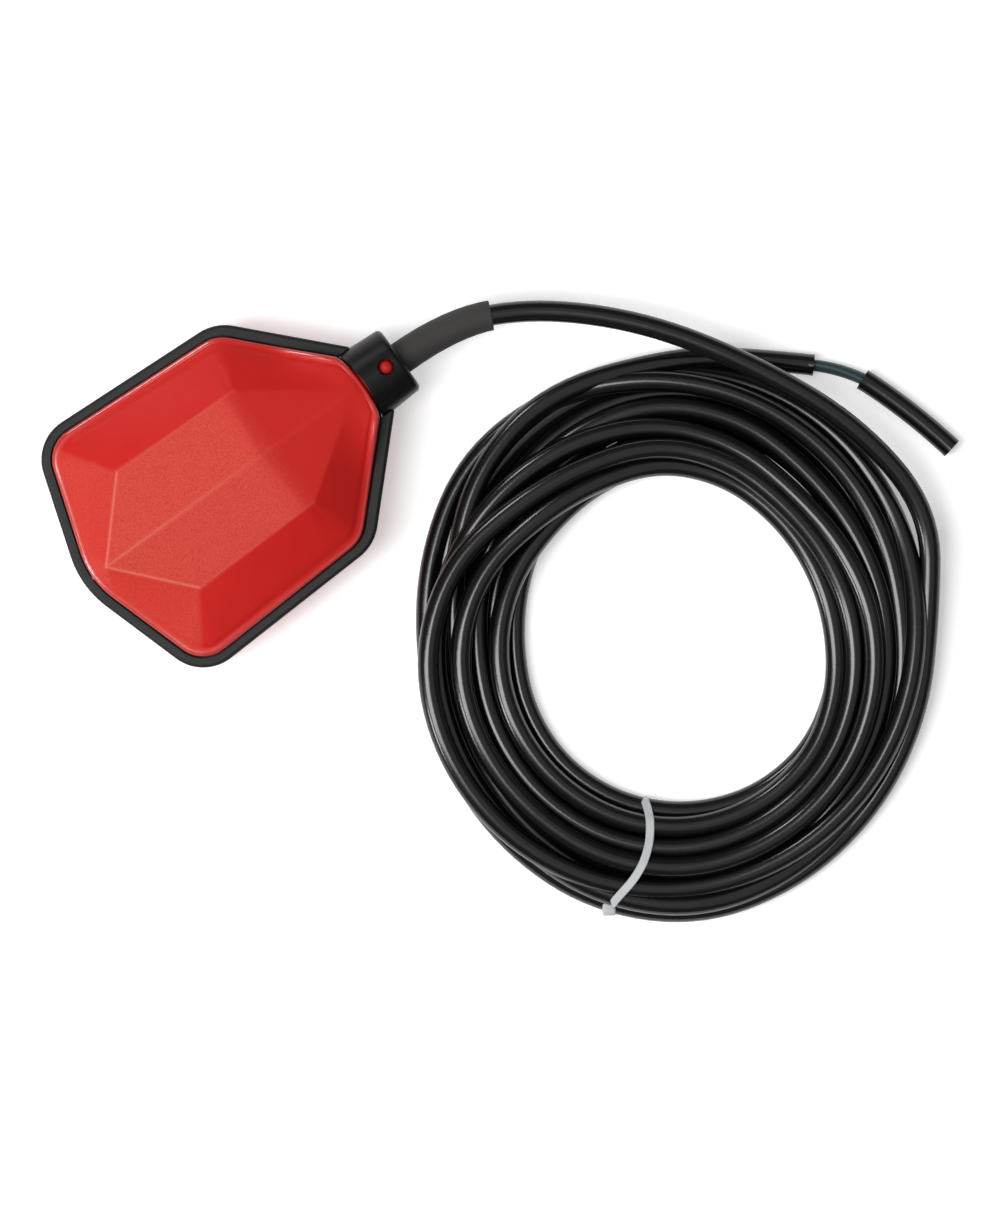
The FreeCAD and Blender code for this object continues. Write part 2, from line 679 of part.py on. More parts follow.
def switch_lever():
    """Cam lever: its arc keeps one gap over the ball while both move in step."""
    lower, upper = lever_profile()
    edges = [Part.LineSegment(lower[0], lower[1]).toShape(),
             Part.Arc(lower[1], lower[2], lower[3]).toShape(),
             Part.LineSegment(lower[3], lower[4]).toShape(),
             Part.LineSegment(lower[4], upper[4]).toShape(),
             Part.LineSegment(upper[4], upper[3]).toShape(),
             Part.Arc(upper[3], upper[2], upper[1]).toShape(),
             Part.LineSegment(upper[1], upper[0]).toShape(),
             Part.LineSegment(upper[0], lower[0]).toShape()]
    width = 2 * size("lever_half_width")
    across = Vector(0, -size("lever_half_width"), 0)
    arm = Part.Face(Part.Wire(edges)).extrude(Vector(0, width, 0)).translated(across)
    hub = Part.makeCylinder(size("lever_hub"), width, across, Vector(0, 1, 0))
    bore = Part.makeCylinder(size("lever_bore"), width, across, Vector(0, 1, 0))
    pivot = Vector(size("pivot_x"), 0, size("pivot_height"))
    return arm.fuse(hub).cut(bore).removeSplitter().translated(pivot)


def lever_top_at(x):
    """Height of the lever's upper face where the plunger stands."""
    _, upper = lever_profile()
    heel, hub = upper[3], upper[4]
    share = (x - size("pivot_x") - heel.x) / (hub.x - heel.x)
    return size("pivot_height") + heel.z + share * (hub.z - heel.z)


def gland():
    bush = turned("Bush", [("bush_start_x", "cable_radius"), ("bush_end_x", "cable_radius"),
                           ("bush_end_x", "bush_radius"), ("bush_start_x + bush_taper_length", "bush_radius"),
                           ("bush_start_x", "bush_radius - bush_taper")])
    washer = turned("Washer", [("washer_start_x", "washer_bore"), ("bush_start_x", "washer_bore"),
                               ("bush_start_x", "bush_radius"), ("washer_start_x", "bush_radius")])
    piece(bush, "gland_bush")
    piece(washer, "gland_washer")
    entry = rod("Entry", "cable_radius", "x", ("cable_inner_x", "collar_end_x"), z="mid_height")
    piece(entry, "cable_entry")


def screw(name, x, y, head_bottom, foot):
    """Pan-head screw standing on end, head up, as one solid."""
    shank = rod(name + "_shank", "screw_radius", "z", (foot, head_bottom), x=x, y=y)
    head = rod(name + "_head", "screw_head", "z", (head_bottom, head_bottom + " + screw_head_height"),
               x=x, y=y)
    return join(name, shank, head)


def cable_clamp():
    """Bridge that presses the cable onto the lower shell's saddle, with its two screws."""
    bar = block("Clamp_bar", ("clamp_start_x", "clamp_end_x"), ("-clamp_half_width", "clamp_half_width"),
                ("mid_height + clamp_under", "mid_height + clamp_top"))
    groove = rod("Clamp_groove", "cable_radius", "x",
                 ("clamp_start_x - overrun", "clamp_end_x + overrun"), z="mid_height")
    middle = "( clamp_start_x + clamp_end_x ) / 2"
    top = "mid_height + clamp_top"
    foot = "mid_height - clamp_screw_depth"
    holes = []
    screws = []
    for side, y in (("left", "clamp_screw_y"), ("right", "-clamp_screw_y")):
        holes.append(rod(f"Clamp_hole_{side}", "screw_radius", "z",
                         ("mid_height - overrun", f"{top} + overrun"), x=middle, y=y))
        screws.append(screw(f"Clamp_screw_{side}", middle, y, top, foot))
    piece(cut("Clamp", bar, groove, *holes), "cable_clamp")
    piece(group("Clamp_screws", *screws), "clamp_screws")


def carrier_lug(name, x, y, web):
    """Round lug on a web beside the tray, the hole through it and its screw."""
    lug = rod(name, "lug_radius", "z", ("carrier_floor", "lug_top"), x=x, y=y)
    arm = block(name + "_web", (f"{x} - lug_radius", f"{x} + lug_radius"), web, ("carrier_floor", "lug_top"))
    hole = rod(name + "_hole", "screw_radius", "z", ("carrier_floor - overrun", "lug_top + overrun"),
               x=x, y=y)
    return [lug, arm], hole, screw(name + "_screw", x, y, "lug_top", "boss_screw_end")


def switch_carrier():
    """Tray on the lower shell's bosses: ball track, wiring tray and switch bracket."""
    tray = block("Tray", ("carrier_tail_x", "carrier_neck_x"), ("-carrier_half_width", "carrier_half_width"),
                 ("carrier_floor", "carrier_wall_top"))
    bracket = block("Bracket", ("case_tail_x", "case_neck_x"), ("case_half", "carrier_half_width"),
                    ("carrier_wall_top - overrun", "bracket_top"))
    lugs = []
    holes = []
    screws = []
    for end in ("tail", "neck"):
        for side, y, web in (("left", "lug_y", ("tray_half_width", "lug_y")),
                             ("right", "-lug_y", ("-lug_y", "-tray_half_width"))):
            lug, hole, fixing = carrier_lug(f"Lug_{end}_{side}", f"lug_{end}_x", y, web)
            lugs += lug
            holes.append(hole)
            screws.append(fixing)
    over = "carrier_wall_top + overrun"
    track = rod("Track", "track_radius", "x", ("track_tail_x", "track_neck_x"), z="ball_height")
    above = block("Track_above", ("track_tail_x", "track_neck_x"), ("-track_radius", "track_radius"),
                  ("ball_height", over))
    wires = block("Wire_space", ("tray_start_x", "carrier_neck_x + overrun"),
                  ("-tray_half_width", "tray_half_width"), ("tray_floor", over))
    passage = block("Lever_passage", ("track_neck_x - overrun", "tray_start_x + overrun"),
                    ("-cover_slot_half", "cover_slot_half"), ("passage_floor", over))
    under = block("Under_bracket", ("case_tail_x - overrun", "case_neck_x + overrun"),
                  ("case_half - overrun", "track_radius"),
                  ("carrier_wall_top - 2 * overrun", "carrier_wall_top"))
    bolts = [rod(f"Bracket_hole_{end}", "mount_radius", "y", ("case_half - overrun", "mount_depth"),
                 x=f"mount_{end}_x", z=f"mount_{end}_z") for end in ("tail", "neck")]
    whole = join("Carrier_stock", tray, bracket, *lugs)
    piece(cut("Carrier", whole, track, above, wires, passage, under, *holes, *bolts), "switch_carrier")
    piece(group("Carrier_screws", *screws), "carrier_screws")


def track_cover():
    """Plate that keeps the ball in its track, slotted for the lever."""
    through = ("carrier_wall_top - overrun", "cover_top + overrun")
    plate = block("Cover_plate", ("carrier_tail_x", "cover_end_x"),
                  ("-carrier_half_width", "carrier_half_width"), ("carrier_wall_top", "cover_top"))
    slot = block("Cover_slot", ("cover_slot_tail_x", "cover_end_x + overrun"),
                 ("-cover_slot_half", "cover_slot_half"), through)
    end = rod("Cover_slot_end", "cover_slot_half", "z", through, x="cover_slot_tail_x")
    piece(cut("Track_cover", plate, slot, end), "track_cover")


def switch_ball():
    ball = doc.addObject("Part::Sphere", "Ball")
    bind(ball, Radius="ball_radius", Placement__Base__x="ball_start_x", Placement__Base__z="ball_height")
    piece(ball, "switch_ball")


def lever_parts():
    piece(formed("Lever", switch_lever()), "switch_lever")
    pin = rod("Pin", "pin_radius", "y", ("-case_half", "case_half"), x="pivot_x", z="pivot_height")
    piece(pin, "lever_pin")


def ear(name, y):
    """Lug that hangs from the switch and holds one end of the lever's pin."""
    span = ("pivot_x - ear_half_length", "pivot_x + ear_half_length")
    lug = block(name, span, y, ("ear_bottom", "case_bottom + ear_sunk"))
    hole = rod(name + "_hole", "pin_radius", "y", (y[0] + " - overrun", y[1] + " + overrun"),
               x="pivot_x", z="pivot_height")
    return cut(name + "_drilled", lug, hole)


def microswitch():
    """Case and cover, joined on one face, with two screws into the carrier's bracket."""
    long = ("case_tail_x", "case_neck_x")
    tall = ("case_bottom", "case_top")
    holes = []
    screws = []
    for end in ("tail", "neck"):
        at = {"x": f"mount_{end}_x", "z": f"mount_{end}_z"}
        holes.append(rod(f"Case_hole_{end}", "mount_radius + mount_play", "y",
                         ("-case_half - overrun", "case_half + overrun"), **at))
        shank = rod(f"Mount_shank_{end}", "mount_radius", "y", ("-case_half", "mount_depth"), **at)
        head = rod(f"Mount_head_{end}", "mount_head", "y",
                   ("-case_half - mount_head_height", "-case_half"), **at)
        screws.append(join(f"Mount_screw_{end}", shank, head))
    body = join("Case_stock", block("Case_block", long, ("-case_half", "cover_face"), tall),
                ear("Ear_right", ("-case_half", "-ear_inner")))
    chamber = block("Chamber", ("chamber_tail_x", "chamber_neck_x"), ("-cover_face", "cover_face + overrun"),
                    ("chamber_bottom", "chamber_top"))
    guide = rod("Plunger_guide", "plunger_bore", "z", ("case_bottom - overrun", "chamber_bottom + overrun"),
                x="plunger_x")
    slots = terminal_strips("Slot")
    piece(cut("Case", body, chamber, guide, *holes, *slots), "switch_case")
    lid = join("Lid_stock", block("Lid_block", long, ("cover_face", "case_half"), tall),
               ear("Ear_left", ("ear_inner", "case_half")))
    piece(cut("Lid", lid, *holes), "switch_cover")
    piece(group("Mount_screws", *screws), "switch_screws")


STRIPS = {
    "com": ("com_start_x", "case_neck_x + tab_length", "com_bottom"),
    "nc": ("case_tail_x - tab_length", "contact_x + tab_half_width", "nc_bottom"),
    "no": ("contact_x - tab_half_width", "case_neck_x + tab_length", "no_bottom"),
}


def terminal_strips(name):
    """The three flat strips, as blocks."""
    return [block(f"{name}_{key}", (start, end), ("-tab_half_width", "tab_half_width"),
                  (bottom, bottom + " + tab_thick")) for key, (start, end, bottom) in STRIPS.items()]


def contacts():
    """Terminals with their fixed contacts, the moving blade and the plunger."""
    com, nc, no = terminal_strips("Strip")
    nc_button = rod("Contact_nc", "contact_radius", "z",
                    ("nc_bottom + tab_thick", "nc_bottom + tab_thick + contact_height"), x="contact_x")
    no_button = rod("Contact_no", "contact_radius", "z", ("no_bottom - contact_height", "no_bottom"),
                    x="contact_x")
    piece(com, "terminal_com")
    piece(join("Terminal_nc", nc, nc_button), "terminal_nc")
    piece(join("Terminal_no", no, no_button), "terminal_no")
    strip = block("Blade_strip", ("blade_tip_x", "blade_pivot_x"), ("-blade_half_width", "blade_half_width"),
                  ("blade_bottom", "blade_bottom + blade_thick"))
    knuckle = rod("Blade_knuckle", "blade_knuckle", "y", ("-blade_half_width", "blade_half_width"),
                  x="blade_pivot_x", z="blade_bottom + blade_thick / 2")
    button = rod("Blade_button", "contact_radius", "z",
                 ("blade_bottom - contact_under", "blade_bottom + blade_thick + contact_over"), x="contact_x")
    piece(join("Blade", strip, knuckle, button), "contact_blade")
    foot = f"{lever_top_at(size('plunger_x')):.3f} + plunger_gap"
    crown = "blade_bottom - crown_gap"
    plunger = turned("Plunger", [(foot, "0"), (crown, "0"), (crown, "plunger_radius"),
                                 ("chamber_bottom + plunger_flange_high", "plunger_radius"),
                                 ("chamber_bottom + plunger_flange_high", "plunger_flange"),
                                 ("chamber_bottom + plunger_flange_low", "plunger_flange"),
                                 ("chamber_bottom + plunger_flange_low", "plunger_radius"),
                                 (f"{foot} + plunger_bevel", "plunger_radius"),
                                 (foot, "plunger_radius - plunger_bevel")],
                     along="z", x="plunger_x", z="0")
    piece(plunger, "switch_plunger")


def receptacle(key, start, end, bottom):
    """Crimped receptacle pushed onto a terminal's tab; the tail one leads its core off sideways."""
    middle = f"{bottom} + tab_thick / 2"
    towards_tail = key == "nc"
    if towards_tail:
        span = ("case_tail_x - receptacle_start - receptacle_length", "case_tail_x - receptacle_start")
        barrel = rod(f"Barrel_{key}", "barrel_radius", "y",
                     ("-receptacle_half_width - barrel_length", "-receptacle_half_width"),
                     x=f"{span[0]} + barrel_radius", z=middle)
    else:
        span = ("case_neck_x + receptacle_start", "case_neck_x + receptacle_start + receptacle_length")
        barrel = rod(f"Barrel_{key}", "barrel_radius", "x", (span[1], span[1] + " + barrel_length"),
                     z=f"{middle} - barrel_drop")
    shroud = block(f"Shroud_{key}", span, ("-receptacle_half_width", "receptacle_half_width"),
                   (f"{middle} - receptacle_half_height", f"{middle} + receptacle_half_height"))
    tab = block(f"Tab_space_{key}", (start, end), ("-tab_half_width", "tab_half_width"),
                (bottom, f"{bottom} + tab_thick"))
    piece(cut(f"Receptacle_{key}", join(f"Receptacle_stock_{key}", shroud, barrel), tab), f"receptacle_{key}")


def wiring():
    for key, strip in STRIPS.items():
        receptacle(key, *strip)
        piece(formed(f"Core_{key}", cable_tube(f"core {key}", CORE_ROUTES[key], "core_radius")),
              f"core_{key}")


def coil_ring(name, inset):
    """Oval ring of the coil's outer form, less an inset all round."""
    turn = Placement(Vector(), Rotation(Vector(0, 0, 1), size("coil_turned") + 90))
    prisms = []
    for part, sign in (("outer", "-"), ("inner", "+")):
        oval = doc.addObject("Part::Ellipse", f"{name}_{part}_oval")
        oval.Placement = turn
        bind(oval, MajorRadius=f"coil_{part}_long {sign} {inset}",
             MinorRadius=f"coil_{part}_short {sign} {inset}",
             Placement__Base__x="coil_x", Placement__Base__y="coil_y", Placement__Base__z=inset)
        raised = doc.addObject("Part::Extrusion", f"{name}_{part}")
        raised.Base = oval
        raised.DirMode = "Custom"
        raised.Dir = Vector(0, 0, 1)
        raised.Solid = True
        bind(raised, LengthFwd=f"coil_thick - 2 * {inset}")
        prisms.append(raised)
    ring = cut(name, *prisms)
    doc.recompute()
    rounded = doc.addObject("Part::Fillet", f"{name}_rounded")
    rounded.Base = ring
    radius = size(f"coil_round - {inset}")
    rounded.Edges = [(n + 1, radius, radius) for n, edge in enumerate(ring.Shape.Edges)
                     if edge.BoundBox.ZLength < LEVEL]
    return rounded


def coil_and_tie():
    """The wound coil as one closed solid, with the tie sunk into it by its own thickness."""
    ring = coil_ring("Coil", "0")
    core = coil_ring("Coil_core", "tie_thick")
    turn = Rotation(Vector(0, 0, 1), size("coil_turned + tie_place"))
    band = doc.addObject("Part::Box", "Tie_band")
    out = turn.multVec(Vector(size("coil_inner_short - tie_margin"), -size("tie_half_width"), 0))
    band.Placement = Placement(out + Vector(size("coil_x"), size("coil_y"), 0), turn)
    bind(band, Length="coil_outer_long - coil_inner_short + 2 * tie_margin", Width="2 * tie_half_width",
         Height="coil_thick")
    slice_ = doc.addObject("Part::Common", "Tie_slice")
    slice_.Base = ring
    slice_.Tool = band
    strap = cut("Tie_strap", slice_, core)
    head = doc.addObject("Part::Box", "Tie_head")
    out = turn.multVec(Vector(size("coil_outer_long - tie_head_sunk"), -size("tie_head") / 2,
                              size("( coil_thick - tie_head ) / 2")))
    head.Placement = Placement(out + Vector(size("coil_x"), size("coil_y"), 0), turn)
    bind(head, Length="tie_head", Width="tie_head", Height="tie_head")
    piece(cut("Coil_tied", ring, strap, head), "cable_coil")
    piece(join("Tie", strap, head), "cable_tie")


def free_cable():
    piece(formed("Lead", cable_tube("lead", LEAD_ROUTE)), "cable_lead")
    piece(formed("Tail", cable_tube("tail", TAIL_ROUTE)), "cable_tail")
    piece(formed("Bundle", cable_tube("bundle", BUNDLE_ROUTE, "bundle_radius")), "core_bundle")
    piece(formed("Stub", cable_tube("stub", STUB_ROUTE)), "cable_end_stub")


def housing():
    piece(formed("Upper_shell", upper_shell()), "upper_shell")
    piece(formed("Lower_shell", lower_shell()), "lower_shell")
    piece(formed("Rim", rim_frame()), "rim_frame")
    piece(formed("Collar", neck_collar()), "neck_collar")
    piece(formed("Sleeve", strain_relief_sleeve()), "strain_relief_sleeve")


def write_parts():
    """Check every object and every sub-part, then write one STEP file each."""
    doc.recompute()
    for obj in doc.Objects:
        if {"Invalid", "Error"} & set(obj.State):
            raise RuntimeError(f"{obj.Name} failed: {obj.State}")
    for obj in pieces:
        if obj.Shape.isNull() or not obj.Shape.isValid():
            raise RuntimeError(f"{obj.Label} has no valid shape")
    os.makedirs("parts", exist_ok=True)
    for obj in pieces:
        obj.Shape.exportStep(os.path.join("parts", obj.Label + ".step"))
        print(f"{obj.Label}: {obj.Shape.Volume:.1f} mm3 in {len(obj.Shape.Solids)} solid(s)")


housing()
gland()
cable_clamp()
switch_carrier()
track_cover()
switch_ball()
lever_parts()
microswitch()
contacts()
wiring()
coil_and_tie()
free_cable()
write_parts()
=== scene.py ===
import json
import math

import bpy
import numpy as np
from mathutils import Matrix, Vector


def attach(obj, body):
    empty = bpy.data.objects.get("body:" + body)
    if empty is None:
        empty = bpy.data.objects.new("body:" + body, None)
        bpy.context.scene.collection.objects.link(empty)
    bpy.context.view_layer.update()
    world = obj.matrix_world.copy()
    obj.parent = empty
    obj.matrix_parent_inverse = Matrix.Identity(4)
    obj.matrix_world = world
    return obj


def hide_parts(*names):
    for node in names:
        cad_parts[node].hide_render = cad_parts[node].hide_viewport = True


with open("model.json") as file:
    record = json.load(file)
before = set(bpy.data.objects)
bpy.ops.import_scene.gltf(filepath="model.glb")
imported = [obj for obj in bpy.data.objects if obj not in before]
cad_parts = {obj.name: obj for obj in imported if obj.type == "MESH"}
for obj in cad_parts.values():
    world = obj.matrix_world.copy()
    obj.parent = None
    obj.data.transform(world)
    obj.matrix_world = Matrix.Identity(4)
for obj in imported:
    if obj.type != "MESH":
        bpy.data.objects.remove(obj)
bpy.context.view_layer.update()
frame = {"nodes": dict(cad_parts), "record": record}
nodes = frame["nodes"]
mm = 0.001

# camera, light and floor
view = {
    "turnDegrees": -35.6,           # the view's way up, from +Y
    "lookAt": (41.5, -85.7, 15.0),  # mm, middle of the view
    "tallSideMm": 398.2,            # what the long side of the view takes in
    "lensMm": 200.0,
    "sensorMm": 36.0,
    "clipEndM": 20.0,
}
studio = {
    "floorHex": "#f4f4f4",
    "floorGlow": 0.34,              # light that comes up through the opal sheet
    "floorRoughness": 0.9,
    "floorSizeMm": 6000.0,
    "roomLight": 0.16,
    # name: place in mm from the middle of the view, in the view's axes (right, up, height), size in
    # mm (across the line to the middle, and along it), watts
    "lamps": {
        "keyPanel": ((-520.0, -150.0, 1200.0), (430.0, 900.0), 12.8),
        "topPanel": ((260.0, -60.0, 1400.0), (2200.0, 2200.0), 6.8),
        "tailPanel": ((-980.0, -420.0, 560.0), (240.0, 240.0), 3.2),
        "windowPanel": ((-600.0, 850.0, 600.0), (220.0, 220.0), 2.2),
    },
}


def srgbToLinear(hexText):
    # sRGB hex to linear light, with alpha 1
    parts = [int(hexText[i:i + 2], 16) / 255 for i in (1, 3, 5)]
    return tuple(c / 12.92 if c <= 0.04045 else ((c + 0.055) / 1.055) ** 2.4 for c in parts) + (1.0,)


def turnAxes(right, up):
    # the view's axes (right, up) to the frame's, as arrays or numbers
    turn = math.radians(view["turnDegrees"])
    return right * math.cos(turn) - up * math.sin(turn), right * math.sin(turn) + up * math.cos(turn)


def makeCamera():
    data = bpy.data.cameras.new("viewCamera")
    data.lens = view["lensMm"]
    data.sensor_width = view["sensorMm"]
    data.clip_end = view["clipEndM"]
    camera = bpy.data.objects.new("viewCamera", data)
    distance = view["tallSideMm"] * view["lensMm"] / view["sensorMm"]
    camera.location = (Vector(view["lookAt"]) + Vector((0.0, 0.0, distance))) * mm
    camera.rotation_euler = (0.0, 0.0, math.radians(view["turnDegrees"]))
    bpy.context.collection.objects.link(camera)
    bpy.context.scene.camera = camera
    bpy.context.scene.view_settings.view_transform = "Standard"   # whites stay white


def makeLamps():
    middle = Vector(view["lookAt"])
    for name, ((right, up, height), size, watts) in studio["lamps"].items():
        data = bpy.data.lights.new(name, "AREA")
        data.shape = "RECTANGLE"
        data.size, data.size_y = size[0] * mm, size[1] * mm
        data.energy = watts
        lamp = bpy.data.objects.new(name, data)
        lamp.location = (middle + Vector((*turnAxes(right, up), height))) * mm
        lamp.rotation_euler = (middle * mm - lamp.location).to_track_quat("-Z", "Y").to_euler()
        bpy.context.collection.objects.link(lamp)
    world = bpy.data.worlds.new("softRoom")
    world.use_nodes = True
    world.node_tree.nodes["Background"].inputs["Strength"].default_value = studio["roomLight"]
    world.node_tree.nodes["Background"].inputs["Color"].default_value = (1.0, 1.0, 1.0, 1.0)
    bpy.context.scene.world = world


# materials: the helpers first, then each finish
def addNode(tree, kind, settings=None, links=None, **values):
    # one node with its settings, input values by name, and links as {input: output socket}
    node = tree.nodes.new(kind)
    for key, value in (settings or {}).items():
        setattr(node, key, value)
    for key, value in values.items():
        node.inputs[key.replace("_", " ")].default_value = value
    for key, socket in (links or {}).items():
        tree.links.new(socket, node.inputs[key])
    return node


def newMaterial(name, hexColour, roughness, metallic=0.0, ior=1.5, **more):
    material = bpy.data.materials.new(name)
    material.use_nodes = True
    shader = material.node_tree.nodes["Principled BSDF"]
    shader.inputs["Base Color"].default_value = srgbToLinear(hexColour)
    shader.inputs["Roughness"].default_value = roughness
    shader.inputs["Metallic"].default_value = metallic
    if not metallic:
        shader.inputs["IOR"].default_value = ior
    for key, value in more.items():
        shader.inputs[key.replace("_", " ")].default_value = value
    return material, material.node_tree, shader


def grainScale(sizeMm):
    # noise scale that gives lumps of this size on object coordinates in metres
    return 1000.0 / sizeMm


def mixColours(tree, share, first, second):
    # from the first colour to the second by a share; each is a hex colour or a node's output
    node = addNode(tree, "ShaderNodeMix", {"data_type": "RGBA"}, {"Factor": share})
    for key, colour in (("A", first), ("B", second)):
        if isinstance(colour, str):
            node.inputs[key].default_value = srgbToLinear(colour)
        else:
            tree.links.new(colour, node.inputs[key])
    return node.outputs["Result"]


def between(tree, share, first, second):
    # from the first number to the second by a share; the first may be a node's output
    node = addNode(tree, "ShaderNodeMapRange", links={"Value": share})
    if isinstance(first, float):
        node.inputs["To Min"].default_value = first
    else:
        tree.links.new(first, node.inputs["To Min"])
    node.inputs["To Max"].default_value = second
    return node.outputs["Result"]


def colourPatches(tree, lightHex, darkHex, sizeMm):
    # soft patches between two colours: the coordinates, the patches and the mixed colour
    place = addNode(tree, "ShaderNodeTexCoord").outputs["Object"]
    patches = addNode(tree, "ShaderNodeTexNoise", links={"Vector": place}, Scale=grainScale(sizeMm),
                      Detail=3.0).outputs["Fac"]
    return place, patches, mixColours(tree, patches, darkHex, lightHex)


def plainMaterial(name, lightHex, darkHex, patchMm, bumpMm, bumpSizeMm, roughness, **more):
    # soft patches between two colours, a fine bump, and roughness that wanders a little
    material, tree, shader = newMaterial(name, lightHex, roughness[0], **more)
    place, patches, colours = colourPatches(tree, lightHex, darkHex, patchMm)
    tree.links.new(colours, shader.inputs["Base Color"])
    grain = addNode(tree, "ShaderNodeTexNoise", links={"Vector": place}, Scale=grainScale(bumpSizeMm),
                    Detail=2.0)
    bump = addNode(tree, "ShaderNodeBump", links={"Height": grain.outputs["Fac"]}, Strength=1.0,
                   Distance=bumpMm * mm)
    tree.links.new(bump.outputs["Normal"], shader.inputs["Normal"])
    tree.links.new(between(tree, patches, *roughness), shader.inputs["Roughness"])
    return material


def mouldedRedAbs():
    # injection-moulded ABS: even red with a soft gloss; the spark-eroded facets are grainy and painted paler,
    # a painted light that is strongest towards the tail, where the key light falls;
    # the edges between them carry a painted highlight line, and the rolled edge is polished
    values = {
        "side": "#bf1f1a", "sideDark": "#b71b17", "patchMm": 9.0,
        # grain of the spark-eroded facets; its mean is paler than the sides, and that paleness is painted
        # light
        "grainWithPaintedLight": "#b1261e", "speckle": "#cb4a3b",
        "grainMm": 0.5, "grainLow": 0.25, "grainHigh": 0.75, "grainHeightMm": 0.05, "grainStrength": 0.9,
        # painted highlight along the plateau's edges and the ridge, and how strongly it is mixed in
        "edge": "#dc8578", "edgeHighlightStrength": 0.4,
        "joint": "#2c0708",            # painted shade beside the rim, round the peg and on the neck under the collar
        "sideRoughness": 0.42, "erodedRoughness": 0.60, "rolledRoughness": 0.2,
        "specularLevel": 0.14, "rolledSpecular": 1.0,
    }
    material, tree, shader = newMaterial("mouldedRedAbs", values["side"], values["sideRoughness"], ior=1.53,
                                         Specular_IOR_Level=values["specularLevel"])
    place, _, sides = colourPatches(tree, values["side"], values["sideDark"], values["patchMm"])
    grainWithPaintedLight, edgeHighlight, joint, rolled = (
        addNode(tree, "ShaderNodeAttribute", {"attribute_name": name}).outputs["Fac"]
        for name in ("grainWithPaintedLightShare", "paintedEdgeHighlight", "jointShade", "rolledEdge"))
    grain = addNode(tree, "ShaderNodeTexNoise", links={"Vector": place}, Scale=grainScale(values["grainMm"]),
                    Detail=3.0, Roughness=0.6).outputs["Fac"]
    contrast = addNode(tree, "ShaderNodeMapRange", links={"Value": grain}, From_Min=values["grainLow"],
                       From_Max=values["grainHigh"]).outputs["Result"]
    speckle = mixColours(tree, contrast, values["grainWithPaintedLight"], values["speckle"])
    # painted highlight lines on the edges, then painted shade in the joint, over the red and its grain
    edgeHighlightShare = addNode(tree, "ShaderNodeMath", {"operation": "MULTIPLY"}, {0: edgeHighlight})
    edgeHighlightShare.inputs[1].default_value = values["edgeHighlightStrength"]
    roofAndSides = mixColours(tree, grainWithPaintedLight, sides, speckle)
    highlighted = mixColours(tree, edgeHighlightShare.outputs["Value"], roofAndSides, values["edge"])
    tree.links.new(mixColours(tree, joint, highlighted, values["joint"]), shader.inputs["Base Color"])
    height = addNode(tree, "ShaderNodeMath", {"operation": "MULTIPLY"}, {0: grain, 1: grainWithPaintedLight})
    bump = addNode(tree, "ShaderNodeBump", links={"Height": height.outputs["Value"]},
                   Strength=values["grainStrength"], Distance=values["grainHeightMm"] * mm)
    tree.links.new(bump.outputs["Normal"], shader.inputs["Normal"])
    gloss = between(tree, grainWithPaintedLight, values["sideRoughness"], values["erodedRoughness"])
    tree.links.new(between(tree, rolled, gloss, values["rolledRoughness"]), shader.inputs["Roughness"])
    tree.links.new(between(tree, rolled, values["specularLevel"], values["rolledSpecular"]),
                   shader.inputs["Specular IOR Level"])
    return material


